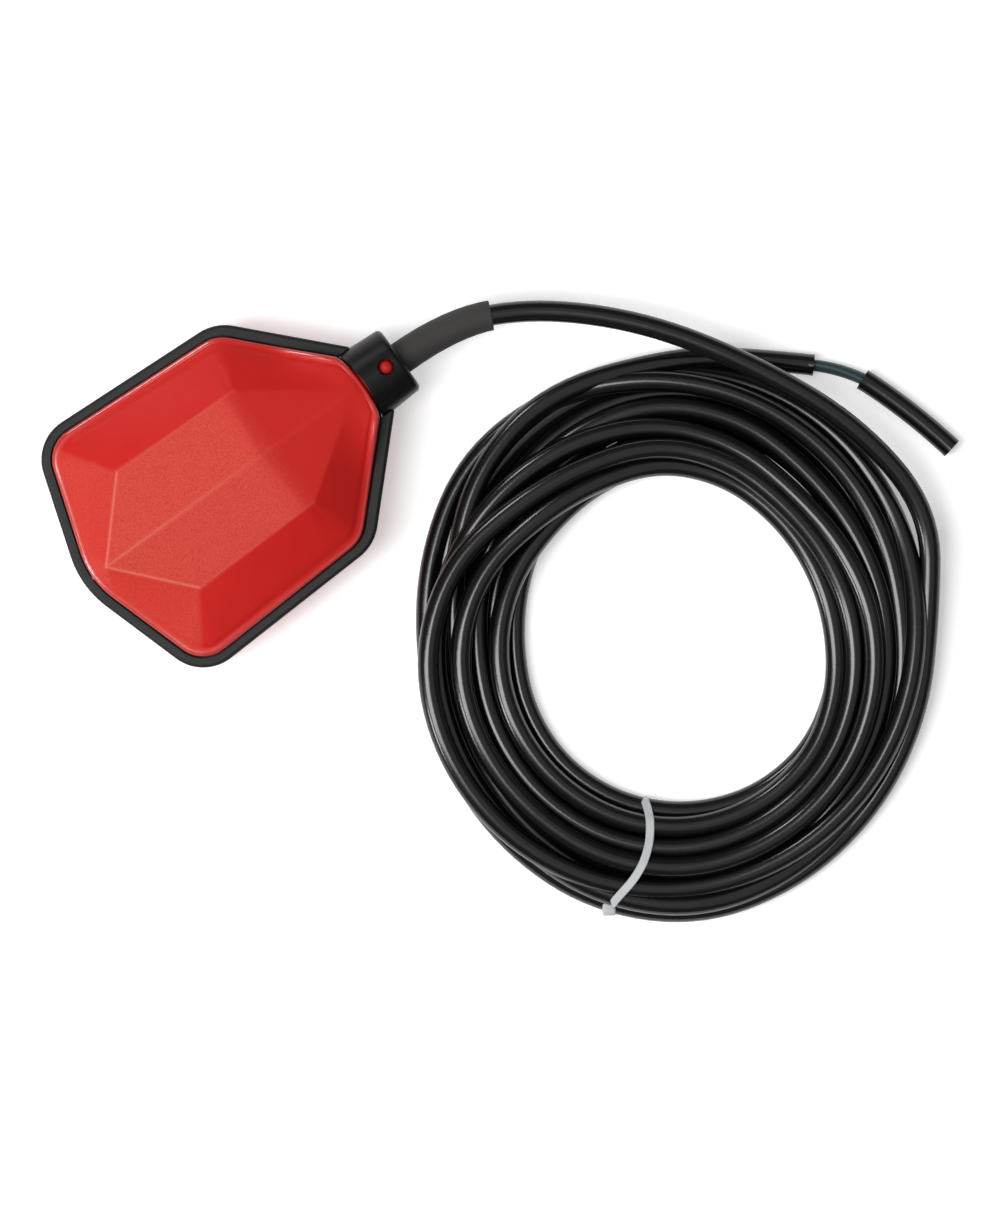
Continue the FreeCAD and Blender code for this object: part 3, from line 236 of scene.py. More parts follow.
# each: light and dark colour, size of the patches, height and size of the fine bump in mm, roughness
finishes = {
    "float_shell": mouldedRedAbs(),
    # moulded thermoplastic rubber: charcoal, satin, with a fine cloudiness
    "rim": plainMaterial("mouldedTpeSeal", "#171616", "#100f0f", 6.0, 0.012, 0.5, (0.50, 0.60),
                         Specular_IOR_Level=0.3),
    # moulded glass-filled nylon: near black with a satin gloss
    "collar": plainMaterial("mouldedBlackNylon", "#08090a", "#060607", 5.0, 0.008, 0.4, (0.34, 0.42),
                            Specular_IOR_Level=0.2),
    # extruded rubber sleeve: dull dark grey, dusty
    "sleeve": plainMaterial("extrudedRubberSleeve", "#343231", "#2b2a29", 3.0, 0.020, 0.35, (0.72, 0.84)),
    # moulded nitrile rubber: dull black, the soft look of a pressed seal
    "seal": plainMaterial("mouldedNitrileSeal", "#1c1c1c", "#141414", 3.0, 0.010, 0.4, (0.55, 0.65)),
    # natural glass-filled nylon of the inner mouldings: creamy white, satin
    "inner_plastic": plainMaterial("mouldedNaturalNylon", "#e2dfd2", "#d6d2c2", 6.0, 0.010, 0.5,
                                   (0.42, 0.52)),
    # extruded soft PVC: black with a soft sheen and faint drag lines
    "cable_jacket": plainMaterial("extrudedBlackPvc", "#0b0b0c", "#070709", 8.0, 0.006, 0.9, (0.17, 0.23)),
    # extruded PVC round the twisted cores: dark grey-green with a faint sheen
    "core_bundle": plainMaterial("extrudedTealPvc", "#23393b", "#1c2f32", 4.0, 0.008, 0.6, (0.40, 0.50)),
    # natural nylon 66: milky, slightly clear
    "tie_nylon": plainMaterial("mouldedNylonTie", "#b9bcbd", "#abafb1", 3.0, 0.008, 0.5, (0.40, 0.50)),
    # zinc-plated steel: bright, faintly mottled by its plating
    "screw_steel": plainMaterial("zincPlatedSteel", "#c9ccd0", "#b4b8be", 1.5, 0.004, 0.3, (0.28, 0.36),
                                 metallic=1.0),
    # lapped bearing steel: mirror bright
    "ball_steel": plainMaterial("lappedBearingSteel", "#dcdcdc", "#d2d3d5", 4.0, 0.001, 0.5, (0.06, 0.10),
                                metallic=1.0),
    # moulded phenolic of the switch's case: near black, fine-grained and matt
    "switch_plastic": plainMaterial("mouldedPhenolicCase", "#26262a", "#1d1d20", 4.0, 0.008, 0.3,
                                    (0.44, 0.54)),
    # moulded red acetal of the plunger: smooth, with a waxy gloss
    "plunger_plastic": plainMaterial("mouldedRedAcetal", "#b3261e", "#a3211a", 3.0, 0.004, 0.4, (0.34, 0.42)),
    # stamped brass: warm yellow with rolling streaks
    "contact_brass": plainMaterial("stampedBrass", "#d0aa58", "#b99245", 1.5, 0.004, 0.25, (0.26, 0.36),
                                   metallic=1.0),
    # extruded PVC on the three cores: smooth brown, blue and black with a soft gloss
    "core_brown": plainMaterial("extrudedBrownPvc", "#5a3622", "#4d2d1c", 4.0, 0.006, 0.5, (0.36, 0.46)),
    "core_blue": plainMaterial("extrudedBluePvc", "#1f4f9e", "#1a4489", 4.0, 0.006, 0.5, (0.36, 0.46)),
    "core_black": plainMaterial("extrudedBlackCore", "#161616", "#101010", 4.0, 0.006, 0.5, (0.36, 0.46)),
    # drawn copper strands in each core: warm, fine and bright where cut
    "copper": plainMaterial("drawnCopperStrand", "#c9825a", "#b06c46", 0.8, 0.010, 0.25, (0.28, 0.38),
                            metallic=1.0),
}


def paintCadNodes():
    for part in frame["record"]["subparts"]:
        mesh = nodes[part["node"]].data
        mesh.materials.clear()
        mesh.materials.append(finishes[part["material_slot"]])


def makeFloor():
    half = studio["floorSizeMm"] / 2 * mm
    mesh = bpy.data.meshes.new("floor")
    corners = [(-half, -half, 0), (half, -half, 0), (half, half, 0), (-half, half, 0)]
    mesh.from_pydata(corners, [], [(0, 1, 2, 3)])
    floor = bpy.data.objects.new("floor", mesh)
    bpy.context.collection.objects.link(floor)
    # opal acrylic light table: even matte white, a little lit from below so that shadows stay light
    mesh.materials.append(newMaterial("opalLightTable", studio["floorHex"], studio["floorRoughness"],
                                      Specular_IOR_Level=0.0, Emission_Color=(1.0, 1.0, 1.0, 1.0),
                                      Emission_Strength=studio["floorGlow"])[0])


makeCamera()
makeLamps()
makeFloor()
paintCadNodes()
print("camera, lamps, floor and materials ready")


# surfaces from grids of points, in mm
def gridFaces(rows, columns):
    # four-sided faces between neighbouring points of a grid
    first = (np.arange(rows - 1)[:, None] * columns + np.arange(columns - 1)).ravel()
    return np.column_stack([first, first + columns, first + columns + 1, first + 1])


def closedPart(grids):
    # Points of several grids that fall together (to 0.0001 mm) become one, triangles that lose their
    # area or fall on each other go, and the whole is turned outwards by the sign of its volume.
    points = np.vstack([grid.reshape(-1, 3) for grid in grids])
    starts = np.cumsum([0] + [grid.shape[0] * grid.shape[1] for grid in grids[:-1]])
    faces = np.vstack([gridFaces(*grid.shape[:2]) + start for grid, start in zip(grids, starts)])
    rounded = np.round(points, 4) + 0.0
    _, keep, index = np.unique(rounded, axis=0, return_index=True, return_inverse=True)
    index = index.reshape(-1)
    corners = index[np.vstack([faces[:, [0, 1, 2]], faces[:, [0, 2, 3]]])]
    whole = (corners != corners[:, [1, 2, 0]]).all(axis=1)
    points, corners = points[keep], corners[whole]
    _, same, count = np.unique(np.sort(corners, axis=1), axis=0, return_inverse=True, return_counts=True)
    corners = corners[count[same.reshape(-1)] == 1]
    a, b, c = (points[corners[:, k]] for k in range(3))
    if np.einsum("ij,ij->i", a, np.cross(b, c)).sum() < 0:
        corners = corners[:, ::-1]
    return points, corners


def meshPiece(name, parts, finish, replaced=(), sharpDegrees=40.0, materials=None, paint=None):
    # parts are (points, triangles) pairs; materials gives one finish per part where they differ, and
    # paint gives the attributes that the material reads
    starts = np.cumsum([0] + [len(points) for points, _ in parts[:-1]])
    points = np.vstack([p for p, _ in parts]) * mm
    faces = np.vstack([f + s for (_, f), s in zip(parts, starts)])
    mesh = bpy.data.meshes.new(name)
    mesh.from_pydata(points.tolist(), [], faces.tolist())
    made = bpy.data.objects.new(name, mesh)
    bpy.context.collection.objects.link(made)
    used = list(dict.fromkeys(materials or [finish]))
    for slotName in used:
        mesh.materials.append(finishes[slotName])
    if materials:
        numbers = np.concatenate([np.full(len(f), used.index(m)) for (_, f), m in zip(parts, materials)])
        mesh.polygons.foreach_set("material_index", numbers.astype(np.int32))
    for attribute, values in (paint(points / mm) if paint else {}).items():
        mesh.attributes.new(attribute, "FLOAT", "POINT").data.foreach_set("value", values)
    mesh.shade_smooth()
    mesh.set_sharp_from_angle(angle=math.radians(sharpDegrees))
    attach(made, "float")
    if replaced:
        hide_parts(*replaced)
    return made


def turnedGrid(profile, steps, fromDegrees=0.0, toDegrees=360.0):
    # a profile of (radius, height) turned about the Z axis: rows are angles, columns the profile
    angle = np.radians(np.linspace(fromDegrees, toDegrees, steps + 1))[:, None]
    radius, height = np.array(profile, float).T
    return np.stack([radius * np.cos(angle), radius * np.sin(angle),
                     np.broadcast_to(height, (steps + 1, len(height)))], axis=-1)


# the two half shells of the float
shell = {
    "middleMm": 20.0,              # height of the parting plane
    # corners from the neck end to the tail tip: x, y, radius
    "wall": ((48.0, 9.6, 0.0), (47.0, 12.3, 1.6), (18.9, 41.5, 12.5), (-47.3, 44.6, 11.5),
             (-61.45, 0.0, 30.0)),
    "wallBulge": 1.0,
    "wallGapMm": 0.6,              # dark joint between shell and rim
    "plateau": ((44.8, 0.4, 0.0), (44.2, 0.8, 0.1), (13.4, 22.2, 1.2), (-33.0, 22.9, 1.2),
                (-53.6, 0.0, 0.6)),
    "grooveFloorMm": 0.9,          # the joint is open down to here
    "wallTopMm": 4.4,              # the wall rolls over from here into the facets
    "neckRiseMm": 5.6, "neckRiseFromX": 31.0, "neckRiseToX": 47.0,
    "tipRiseMm": 1.8, "tipRiseFromX": -50.0, "tipRiseToX": -60.0,
    "rollInMm": 1.3, "rollUpMm": 1.4, "rollEndSlope": 0.12,
    # shallow hollow between the rolled bead and the facet, on facets longer than these
    "dipMm": 0.38, "dipInMm": 1.5, "dipWidthMm": 0.85, "dipStartMm": 0.6, "dipRunFromMm": 4.0,
    "dipRunToMm": 9.0,
    "peakX": 8.0, "peakMm": 20.0,
    "tailSlope": 0.105, "tailFall": 0.13, "neckSlope": 0.21, "neckFall": 0.10,
    # width over which the ridge is rounded, and the share of it that the planes rise by in return
    "ridgeSoftMm": 0.7, "ridgeLift": 0.4,
    "creaseSoftMm": 0.22,          # softness between side facets and roof
    "peakSoftMm": 0.25,
    "skinMm": 2.2, "skinDropMm": 2.2,
    "neckRadius": 9.5, "neckBore": 7.2, "neckFromX": 44.0, "neckToX": 60.2,
    "pegX": 57.5, "pegRadius": 2.4, "pegTopMm": 11.5, "pegDomeRadius": 3.0, "pegSunkMm": 1.5,
    "arcSteps": 16, "lineSteps": 44, "roundSides": 48, "domeSteps": 14, "sharpDegrees": 50.0,
    # steps up the wall, round the roll, up the facets and over the roof
    "outerSteps": (4, 10, 34, 20), "innerSteps": (3, 4, 9, 6),
}


def halfOutline(corners, bulge=0.0):
    # Left half of a closed outline, from the neck end's middle to the tail tip: straight runs with an
    # arc of each corner's radius between them, and an arc of the given bulge over the neck end.
    share = np.linspace(0, 1, shell["lineSteps"] + 1)[:, None]
    places = [np.array(c[:2], float) for c in corners]
    radii = [c[2] for c in corners]
    mirrored = places[-2] * (1, -1)
    runs = [np.column_stack([places[0][0] + bulge * (1 - share**2), places[0][1] * share])]
    here = places[0]
    for k in range(1, len(places)):
        after = places[k + 1] if k + 1 < len(places) else mirrored
        back = (places[k - 1] - places[k]) / np.linalg.norm(places[k - 1] - places[k])
        on = (after - places[k]) / np.linalg.norm(after - places[k])
        half = math.acos(float(back @ on)) / 2
        bisector = (back + on) / np.linalg.norm(back + on)
        centre = places[k] + bisector * radii[k] / math.sin(half)
        first = places[k] + back * radii[k] / math.tan(half)
        last = places[k] + on * radii[k] / math.tan(half)
        runs.append(here + (first - here) * share)
        sweep = math.pi - 2 * half
        turnShare = np.linspace(0, 0.5 if k == len(places) - 1 else 1.0, shell["arcSteps"] + 1)
        spoke = first - centre
        way = 1.0 if spoke[0] * (last - centre)[1] - spoke[1] * (last - centre)[0] > 0 else -1.0
        angle = way * sweep * turnShare
        runs.append(centre + np.column_stack([spoke[0] * np.cos(angle) - spoke[1] * np.sin(angle),
                                              spoke[0] * np.sin(angle) + spoke[1] * np.cos(angle)]))
        here = last
    line = np.vstack([runs[0]] + [run[1:] for run in runs[1:]])
    line[0, 1] = line[-1, 1] = 0.0
    return line


def insetOutline(line, inset):
    # each point moved inwards square to the outline by one inset or its own; the ends stay on the axis
    inset = np.broadcast_to(inset, (len(line),))
    ahead = np.gradient(line, axis=0)
    normal = np.column_stack([-ahead[:, 1], ahead[:, 0]])
    normal /= np.maximum(np.linalg.norm(normal, axis=1, keepdims=True), 1e-9)
    moved = line + normal * inset[:, None]
    moved[0] = line[0] - (inset[0], 0)
    moved[-1] = line[-1] + (inset[-1], 0)
    moved[:, 1] = np.maximum(moved[:, 1], 0.0)
    return moved


def softMin(a, b, width):
    # the lower of two heights, with the crease between them rounded over this width
    return 0.5 * (a + b - np.sqrt((a - b) ** 2 + width**2))


def roofHeight(x, y):
    # two planes either side of the ridge fall towards the tail, and two towards the neck
    soft = shell["ridgeSoftMm"]
    across = np.sqrt(y**2 + soft**2) - soft * shell["ridgeLift"]
    tail = shell["tailSlope"] * (x - shell["peakX"]) - shell["tailFall"] * across
    neck = -shell["neckSlope"] * (x - shell["peakX"]) - shell["neckFall"] * across
    return shell["peakMm"] + softMin(tail, neck, shell["peakSoftMm"])


def smoothStep(value, start, end):
    share = np.clip((value - start) / (end - start), 0, 1)
    return share * share * (3 - 2 * share)


def wallTop(line):
    # height of the wall at each point of the outline: higher behind the collar and at the tail tip
    return (shell["wallTopMm"]
            + shell["neckRiseMm"] * smoothStep(line[:, 0], shell["neckRiseFromX"], shell["neckRiseToX"])
            + shell["tipRiseMm"] * smoothStep(line[:, 0], shell["tipRiseFromX"], shell["tipRiseToX"]))


def shellSkin(inset, drop, steps):
    # Left half of one skin, heights above the parting plane: columns run up the wall, round its rolled
    # edge, up the side facets (straight from the roll to the plateau's edge, close together near it),
    # and over the roof to the ridge. Facets and roof cross at the plateau's edge, softly.
    wallSteps, rollSteps, facetSteps, roofSteps = steps
    outline = halfOutline(shell["wall"], shell["wallBulge"])
    base, wall = insetOutline(outline, inset), insetOutline(outline, inset + shell["wallGapMm"])
    top = halfOutline(shell["plateau"])
    topHeight = roofHeight(top[:, 0], top[:, 1])
    wallHeight = wallTop(outline)
    rollTop = wallHeight + shell["rollUpMm"]
    squeeze = (rollTop - drop) / rollTop
    groove = shell["grooveFloorMm"]
    columns = [np.column_stack([base, base[:, 0] * 0 + height]) for height in (0.0, groove)]
    columns += [np.column_stack([wall, groove + (wallHeight - groove) * share])
                for share in np.linspace(0, 1, wallSteps)]
    columns = [column * (1, 1, 0) + (column[:, 2] * squeeze)[:, None] * (0, 0, 1) for column in columns]
    foot = insetOutline(wall, shell["rollInMm"])
    run = np.linalg.norm(top - foot, axis=1)
    rise = (topHeight - rollTop) / run
    # the roll is part of an ellipse, up to where it has almost levelled out
    last = math.pi / 2 - shell["rollEndSlope"]
    for share in np.linspace(0, 1, rollSteps + 1)[1:]:
        ring = insetOutline(wall, shell["rollInMm"] * (1 - np.cos(last * share)) / (1 - np.cos(last)))
        height = wallHeight + shell["rollUpMm"] * np.sin(last * share) / np.sin(last)
        columns.append(np.column_stack([ring, height * squeeze]))
    for share in 0.5 - 0.5 * np.cos(np.pi * np.linspace(0, 1, facetSteps + 1)[1:]):
        plan = foot + (top - foot) * share
        dip = shell["dipMm"] * np.exp(-((run * share - shell["dipInMm"]) / shell["dipWidthMm"]) ** 2)
        dip *= smoothStep(run, shell["dipRunFromMm"], shell["dipRunToMm"])
        dip *= smoothStep(run * share, 0.0, shell["dipStartMm"])
        facet = rollTop + (topHeight - rollTop) * share - dip
        height = softMin(facet, roofHeight(plan[:, 0], plan[:, 1]), shell["creaseSoftMm"]) - drop
        columns.append(np.column_stack([plan, height]))
    for share in 0.5 - 0.5 * np.cos(np.pi * np.linspace(0, 1, roofSteps + 1)[1:]):
        plan = top * (1, 1 - share)
        facet = topHeight + rise * top[:, 1] * share
        height = softMin(facet, roofHeight(plan[:, 0], plan[:, 1]), shell["creaseSoftMm"]) - drop
        columns.append(np.column_stack([plan, height]))
    skin = np.stack(columns, axis=1)
    # the ridge ends in one point at the neck
    skin[:shell["lineSteps"] + shell["arcSteps"] + 1, -1] = skin[0, -1]
    return skin


def halfNeck():
    # half of the neck tube, closed along the parting plane and at both ends
    inner, outer = shell["neckBore"], shell["neckRadius"]
    start, end = shell["neckFromX"], shell["neckToX"]
    profile = [(inner, start), (outer, start), (outer, end), (inner, end), (inner, start)]
    tube = turnedGrid(profile, shell["roundSides"], 0, 180)[:, :, [2, 0, 1]]
    caps = [np.stack([row[[0, 1]], row[[3, 2]]]) for row in (tube[0], tube[-1])]
    return closedPart([tube, *caps])


def peg():
    # a round peg with a domed top, from inside the neck tube
    radius, dome = shell["pegRadius"], shell["pegDomeRadius"]
    crown, foot = shell["pegTopMm"] - dome, shell["neckRadius"] - shell["pegSunkMm"]
    slope = np.linspace(math.asin(radius / dome), 0, shell["domeSteps"])
    profile = [(0.0, foot), (radius, foot), *zip(dome * np.sin(slope), crown + dome * np.cos(slope))]
    return closedPart([turnedGrid(profile, shell["roundSides"]) + (shell["pegX"], 0.0, 0.0)])


def awayFrom(plan, first, second):
    # distance of each plan point from the straight line between two corners
    first, second = np.array(first[:2]), np.array(second[:2])
    along = np.clip((plan - first) @ (second - first) / ((second - first) @ (second - first)), 0, 1)
    return np.linalg.norm(plan - first - along[:, None] * (second - first), axis=1)


shellLook = {
    "roofWithinMm": 0.35,          # nearer than this to the roof's height is roof
    # grain with painted light: strongest at the tail, fading towards the neck, and a share on the tail facets
    "grainAndPaintedLightFadeX": 8.0, "grainAndPaintedLightFadeMm": 12.0, "neckGrainAndPaintedLight": 0.1,
    "tailFacetGrainAndPaintedLight": 0.6, "tailFacetFadeMm": 1.5,
    # polish on the roll: in from the wall's foot, and out at shares of the roll's width
    "polishFromMm": 0.1, "polishFullMm": 0.4, "polishEndShare": 1.1, "polishGoneShare": 2.0,
    # painted shade in the joint beside the rim, on the neck under the collar and round the peg
    "jointDark": 0.9, "jointFromMm": 0.05, "jointGoneMm": 0.45,
    "neckFromX": 50.0, "neckDark": 0.25, "pegEdgeDark": 0.5, "pegDarkFromMm": 1.3,
    "edgeWidthMm": 0.42, "tailEdge": 1.0, "longEdge": 0.25, "edgeGoneX": 60.0,
    # painted highlight on the ridge at its middle, how fast it grows towards the tail, and its limits
    "ridgeEdge": 0.22, "ridgeRiseMm": 110.0, "ridgeLeast": 0.1, "ridgeMost": 0.6,
    "outlineStride": 3,
}


def shellPaint(points):
    # the grain share is 1 on the roof's tail planes and lower on the tail facets: grain, with a paleness that
    # is painted light; the edge share is a painted highlight along the plateau's edges and the ridge;
    # rolledEdge is the polished roll beside the rim;
    # jointShade is painted shade in the joint with the rim, on the neck under the collar and round the peg
    look = shellLook
    plan = np.column_stack([points[:, 0], np.abs(points[:, 1])])
    neck, _, side, tailSide, tail = shell["plateau"]
    rise = np.abs(points[:, 2] - shell["middleMm"])
    onRoof = np.clip(1 - (roofHeight(plan[:, 0], plan[:, 1]) - rise) / look["roofWithinMm"], 0, 1)
    # the grainy finish and its painted paleness fade from the tail towards the neck
    towardsTail = np.clip((shell["peakX"] + look["grainAndPaintedLightFadeX"] - plan[:, 0]) / look["grainAndPaintedLightFadeMm"],
                          look["neckGrainAndPaintedLight"], 1)
    # the tail facets, which face the key light, get part of the painted paleness
    crease = np.array(shell["wall"][3][:2]) - tailSide[:2]
    beyond = (plan - tailSide[:2]) @ np.array([-crease[1], crease[0]]) / np.linalg.norm(crease)
    onTailFacet = np.clip(0.5 + beyond / look["tailFacetFadeMm"], 0, 1)
    grainWithPaintedLight = np.maximum(onRoof * towardsTail, look["tailFacetGrainAndPaintedLight"] * onTailFacet)
    # distance inside the wall's outline
    outline = halfOutline(shell["wall"], shell["wallBulge"])
    stride = look["outlineStride"]
    ends = zip(outline[:-1:stride], outline[stride::stride])
    inside = np.min([awayFrom(plan, a, b) for a, b in ends], axis=0)
    gap, roll = shell["wallGapMm"], shell["rollInMm"]
    rolled = smoothStep(inside, gap + look["polishFromMm"], gap + look["polishFullMm"])
    rolled *= 1 - smoothStep(inside, roll * look["polishEndShare"], roll * look["polishGoneShare"])
    # painted shade in the joint beside the rim
    joint = look["jointDark"] * (1 - smoothStep(inside, gap + look["jointFromMm"], gap + look["jointGoneMm"]))
    # painted shade round the peg in its hole and over the neck under the collar
    fromPeg = np.hypot(plan[:, 0] - shell["pegX"], plan[:, 1])
    aroundPeg = look["pegEdgeDark"] * smoothStep(fromPeg, look["pegDarkFromMm"], shell["pegRadius"])
    joint = np.where(plan[:, 0] > look["neckFromX"], look["neckDark"] + aroundPeg, joint)
    # painted highlight lines along the plateau's edges and the ridge, strongest at the tail
    onRidge = np.clip(look["ridgeEdge"] - plan[:, 0] / look["ridgeRiseMm"],
                      look["ridgeLeast"], look["ridgeMost"])
    edges = [np.exp(-(awayFrom(plan, a, b) / look["edgeWidthMm"]) ** 2) * weight
             for a, b, weight in ((tail, tailSide, look["tailEdge"]), (tailSide, side, look["longEdge"]),
                                  (tail, neck, onRidge))]
    edgeHighlight = np.max(edges, axis=0) * np.clip(1 - plan[:, 0] / look["edgeGoneX"], 0, 1)
    return {"grainWithPaintedLightShare": grainWithPaintedLight, "paintedEdgeHighlight": edgeHighlight, "rolledEdge": rolled, "jointShade": joint}


def shellHalf(name, node, up):
    # outer and inner skin joined along the parting plane, mirrored across the ridge, plus neck and peg
    outer = shellSkin(0.0, 0.0, shell["outerSteps"])
    inner = shellSkin(shell["skinMm"], shell["skinDropMm"], shell["innerSteps"])
    half = np.concatenate([inner[:, ::-1], outer], axis=1)
    parts = [closedPart([half, half[::-1] * (1, -1, 1)]), halfNeck(), peg()]
    placed = [(points * (1, 1, up) + (0, 0, shell["middleMm"]), faces if up > 0 else faces[:, ::-1])
              for points, faces in parts]
    return meshPiece(name, placed, "float_shell", [node], sharpDegrees=shell["sharpDegrees"],
                     paint=shellPaint)


shellHalf("upperShellSkin", "upper_shell", 1)
shellHalf("lowerShellSkin", "lower_shell", -1)
print("two shells with soft creases")


# the cable: lead, wound coil and tail, all one spline
cable = {
    "diameterMm": 7.0,
    "lengthMm": 5000.0,
    # over the coil to its outermost turn
    "lead": ((63.0, 0.0, 20.0), (83.5, 0.0, 20.0), (109.0, -12.5, 19.5), (135.0, -37.0, 19.5),
             (155.0, -68.0, 18.8), (171.0, -103.0, 16.5), (175.0, -140.5, 12.0)),
    # from the last turn to the jacket's cut end
    "tail": ((137.6, -52.0, 5.5), (155.8, -65.6, 4.2), (171.5, -79.5, 3.7)),
    "coilCentre": (83.8, -125.4),
    # radii of the innermost and outermost centre lines at eight places, clockwise from the right
    "inner": (51.3, 57.2, 57.9, 55.9, 52.4, 52.6, 55.6, 49.6),
    "outer": (81.2, 84.6, 91.2, 85.4, 80.8, 88.0, 91.7, 87.0),
    "startDegrees": 85.0,
    "endDegrees": 352.0,
    "stepDegrees": 22.5,
    "splineSteps": 8, "bevelSteps": 8,
}
# each turn at eight places, clockwise from the right: (share of the way out, height in mm)
cable["turns"] = (
    ((1.00, 8.5), (1.00, 3.9), (1.00, 4.4), (1.00, 3.9),
     (1.00, 3.5), (1.00, 3.5), (0.75, 9.6), (0.72, 9.4)),
    ((0.74, 7.8), (0.88, 5.0), (0.93, 9.6), (0.90, 9.0),
     (0.90, 9.4), (0.56, 13.5), (0.33, 11.0), (0.25, 12.5)),
    ((0.43, 15.0), (0.50, 13.0), (0.55, 12.2), (0.60, 13.5),
     (0.63, 15.2), (0.13, 15.5), (0.00, 9.4), (0.02, 9.4)),
    ((0.00, 9.6), (0.08, 9.8), (0.15, 10.2), (0.18, 10.6),
     (0.19, 11.0), (0.04, 9.0), (0.05, 3.5), (0.05, 3.5)),
    ((0.05, 3.5), (0.02, 3.9), (0.00, 4.6), (0.00, 4.0),
     (0.00, 3.5), (0.14, 3.5), (0.25, 3.5), (0.26, 3.5)),
    ((0.26, 3.5), (0.23, 3.9), (0.20, 4.4), (0.23, 3.9),
     (0.25, 3.5), (0.34, 3.5), (0.45, 3.5), (0.46, 3.5)),
    ((0.46, 3.5), (0.43, 3.9), (0.40, 4.4), (0.45, 3.9),
     (0.50, 3.5), (0.59, 3.5), (0.67, 3.5), (0.65, 3.5)),
    ((0.65, 3.5), (0.63, 3.9), (0.60, 4.4), (0.67, 3.9),
     (0.75, 3.5), (0.78, 3.5), (0.84, 3.6), (0.90, 5.0)),
    ((0.89, 12.5), (0.79, 12.0), (0.75, 10.2), (0.97, 14.2),
     (1.00, 16.2), (0.33, 16.0), (0.15, 13.4), (0.12, 13.4)),
    ((0.21, 11.5), (0.28, 10.6), (0.36, 10.2), (0.41, 9.2),
     (0.43, 8.8), (0.50, 8.6), (0.54, 9.8), (0.46, 9.6)),
    ((0.57, 9.6), (0.64, 8.5), (0.80, 4.4), (0.74, 6.0),
     (0.67, 8.8), (0.90, 10.4), (1.00, 8.0), (1.00, 6.0)),
)


def throughPlaces(places, station):
    # smooth curve (Catmull-Rom) through evenly spaced places
    padded = np.vstack([places[:1], places, places[-1:], places[-1:]])
    base = np.clip(np.floor(station).astype(int), 0, len(places) - 1)
    t = np.clip(station - base, 0.0, 1.0)[:, None]
    p0, p1, p2, p3 = (padded[base + k] for k in range(4))
    return 0.5 * (2 * p1 + (p2 - p0) * t + (2 * p0 - 5 * p1 + 4 * p2 - p3) * t**2
                  + (3 * p1 - p0 - 3 * p2 + p3) * t**3)


def coilPoints():
    # Angle runs clockwise from the view's up. Each turn's share of the way out and height run smoothly
    # through its eight places, and so do the radii that the share goes between.
    turns = np.array(cable["turns"]).reshape(-1, 2)
    limits = np.tile(np.column_stack([cable["inner"], cable["outer"]]), (3, 1))
    first, last = cable["startDegrees"], 360.0 * (len(cable["turns"]) - 1) + cable["endDegrees"]
    degrees = np.arange(first, last + 1, cable["stepDegrees"])
    station = (degrees - 90.0) / 45.0
    share, height = throughPlaces(turns, station).T
    inner, outer = throughPlaces(limits, station % 8 + 8).T
    # a spline of this kind runs inside its control points, by this much on a circle
    pulledIn = 0.75 + 0.25 * math.cos(math.radians(cable["stepDegrees"]))
    radius = (inner + (outer - inner) * share) / pulledIn
    x, y = turnAxes(radius * np.sin(np.radians(degrees)), radius * np.cos(np.radians(degrees)))
    return np.column_stack([x + cable["coilCentre"][0], y + cable["coilCentre"][1],
                            np.maximum(height, cable["diameterMm"] / 2)])


def nurbsThrough(name, points, diameterMm=0.0):
    curve = bpy.data.curves.new(name, "CURVE")
    curve.dimensions = "3D"
    spline = curve.splines.new("NURBS")
    spline.points.add(len(points) - 1)
    flat = np.column_stack([np.array(points) * mm, np.ones(len(points))])
    spline.points.foreach_set("co", flat.ravel())
    spline.order_u = 3
    spline.use_endpoint_u = True
    spline.resolution_u = cable["splineSteps"]
    curve.bevel_depth = diameterMm / 2 * mm
    curve.bevel_resolution = cable["bevelSteps"]
    curve.use_fill_caps = True
    made = bpy.data.objects.new(name, curve)
    bpy.context.collection.objects.link(made)
    return made


def centreLine(points):
    # the spline that these control points give, read back as points in mm
    bare = nurbsThrough("bareLine", points)
    mesh = bpy.data.meshes.new_from_object(bare)
    line = np.empty(len(mesh.vertices) * 3)
    mesh.vertices.foreach_get("co", line)
    curve = bare.data
    bpy.data.objects.remove(bare)
    bpy.data.curves.remove(curve)
    bpy.data.meshes.remove(mesh)
    return line.reshape(-1, 3) / mm


def alongGrid(line, stations, radii, sides=48):
    # Rings about a centre line, each at a distance along it with its own radius or radii. One axis of
    # each ring stays level, and stations past either end run straight on.
    reach = np.concatenate([[0.0], np.cumsum(np.linalg.norm(np.diff(line, axis=0), axis=1))])
    where = np.asarray(stations, float)
    slope = np.gradient(line, reach, axis=0)
    centre = np.stack([np.interp(where, reach, line[:, k]) for k in range(3)], axis=1)
    ahead = np.stack([np.interp(where, reach, slope[:, k]) for k in range(3)], axis=1)
    ahead /= np.linalg.norm(ahead, axis=1, keepdims=True)
    centre += ahead * (np.minimum(where, 0) + np.maximum(where - reach[-1], 0))[:, None]
    level = np.cross(ahead, (0.0, 0.0, 1.0))
    level /= np.linalg.norm(level, axis=1, keepdims=True)
    upward = np.cross(level, ahead)
    angle = np.linspace(0, 2 * np.pi, sides + 1)
    radii = np.asarray(radii, float)
    radii = radii[:, None] if radii.ndim == 1 else radii
    spoke = level[:, None] * np.cos(angle)[:, None] + upward[:, None] * np.sin(angle)[:, None]
    return centre[:, None] + spoke * radii[..., None]


cablePoints = np.vstack([np.array(cable["lead"]), coilPoints(), np.array(cable["tail"])])
cableLine = centreLine(cablePoints)

# sleeve over the cable at the collar
sleeve = {
    "backMm": 2.4,                 # how far it starts inside the collar
    "lengthMm": 33.0,
    "radius": 5.45, "endRadius": 4.95, "taperPower": 1.4,
    "bore": 3.52, "mouthMm": 0.3, "edgeMm": 0.35,
    "steps": 60, "edgeSteps": 5, "sides": 72,
}


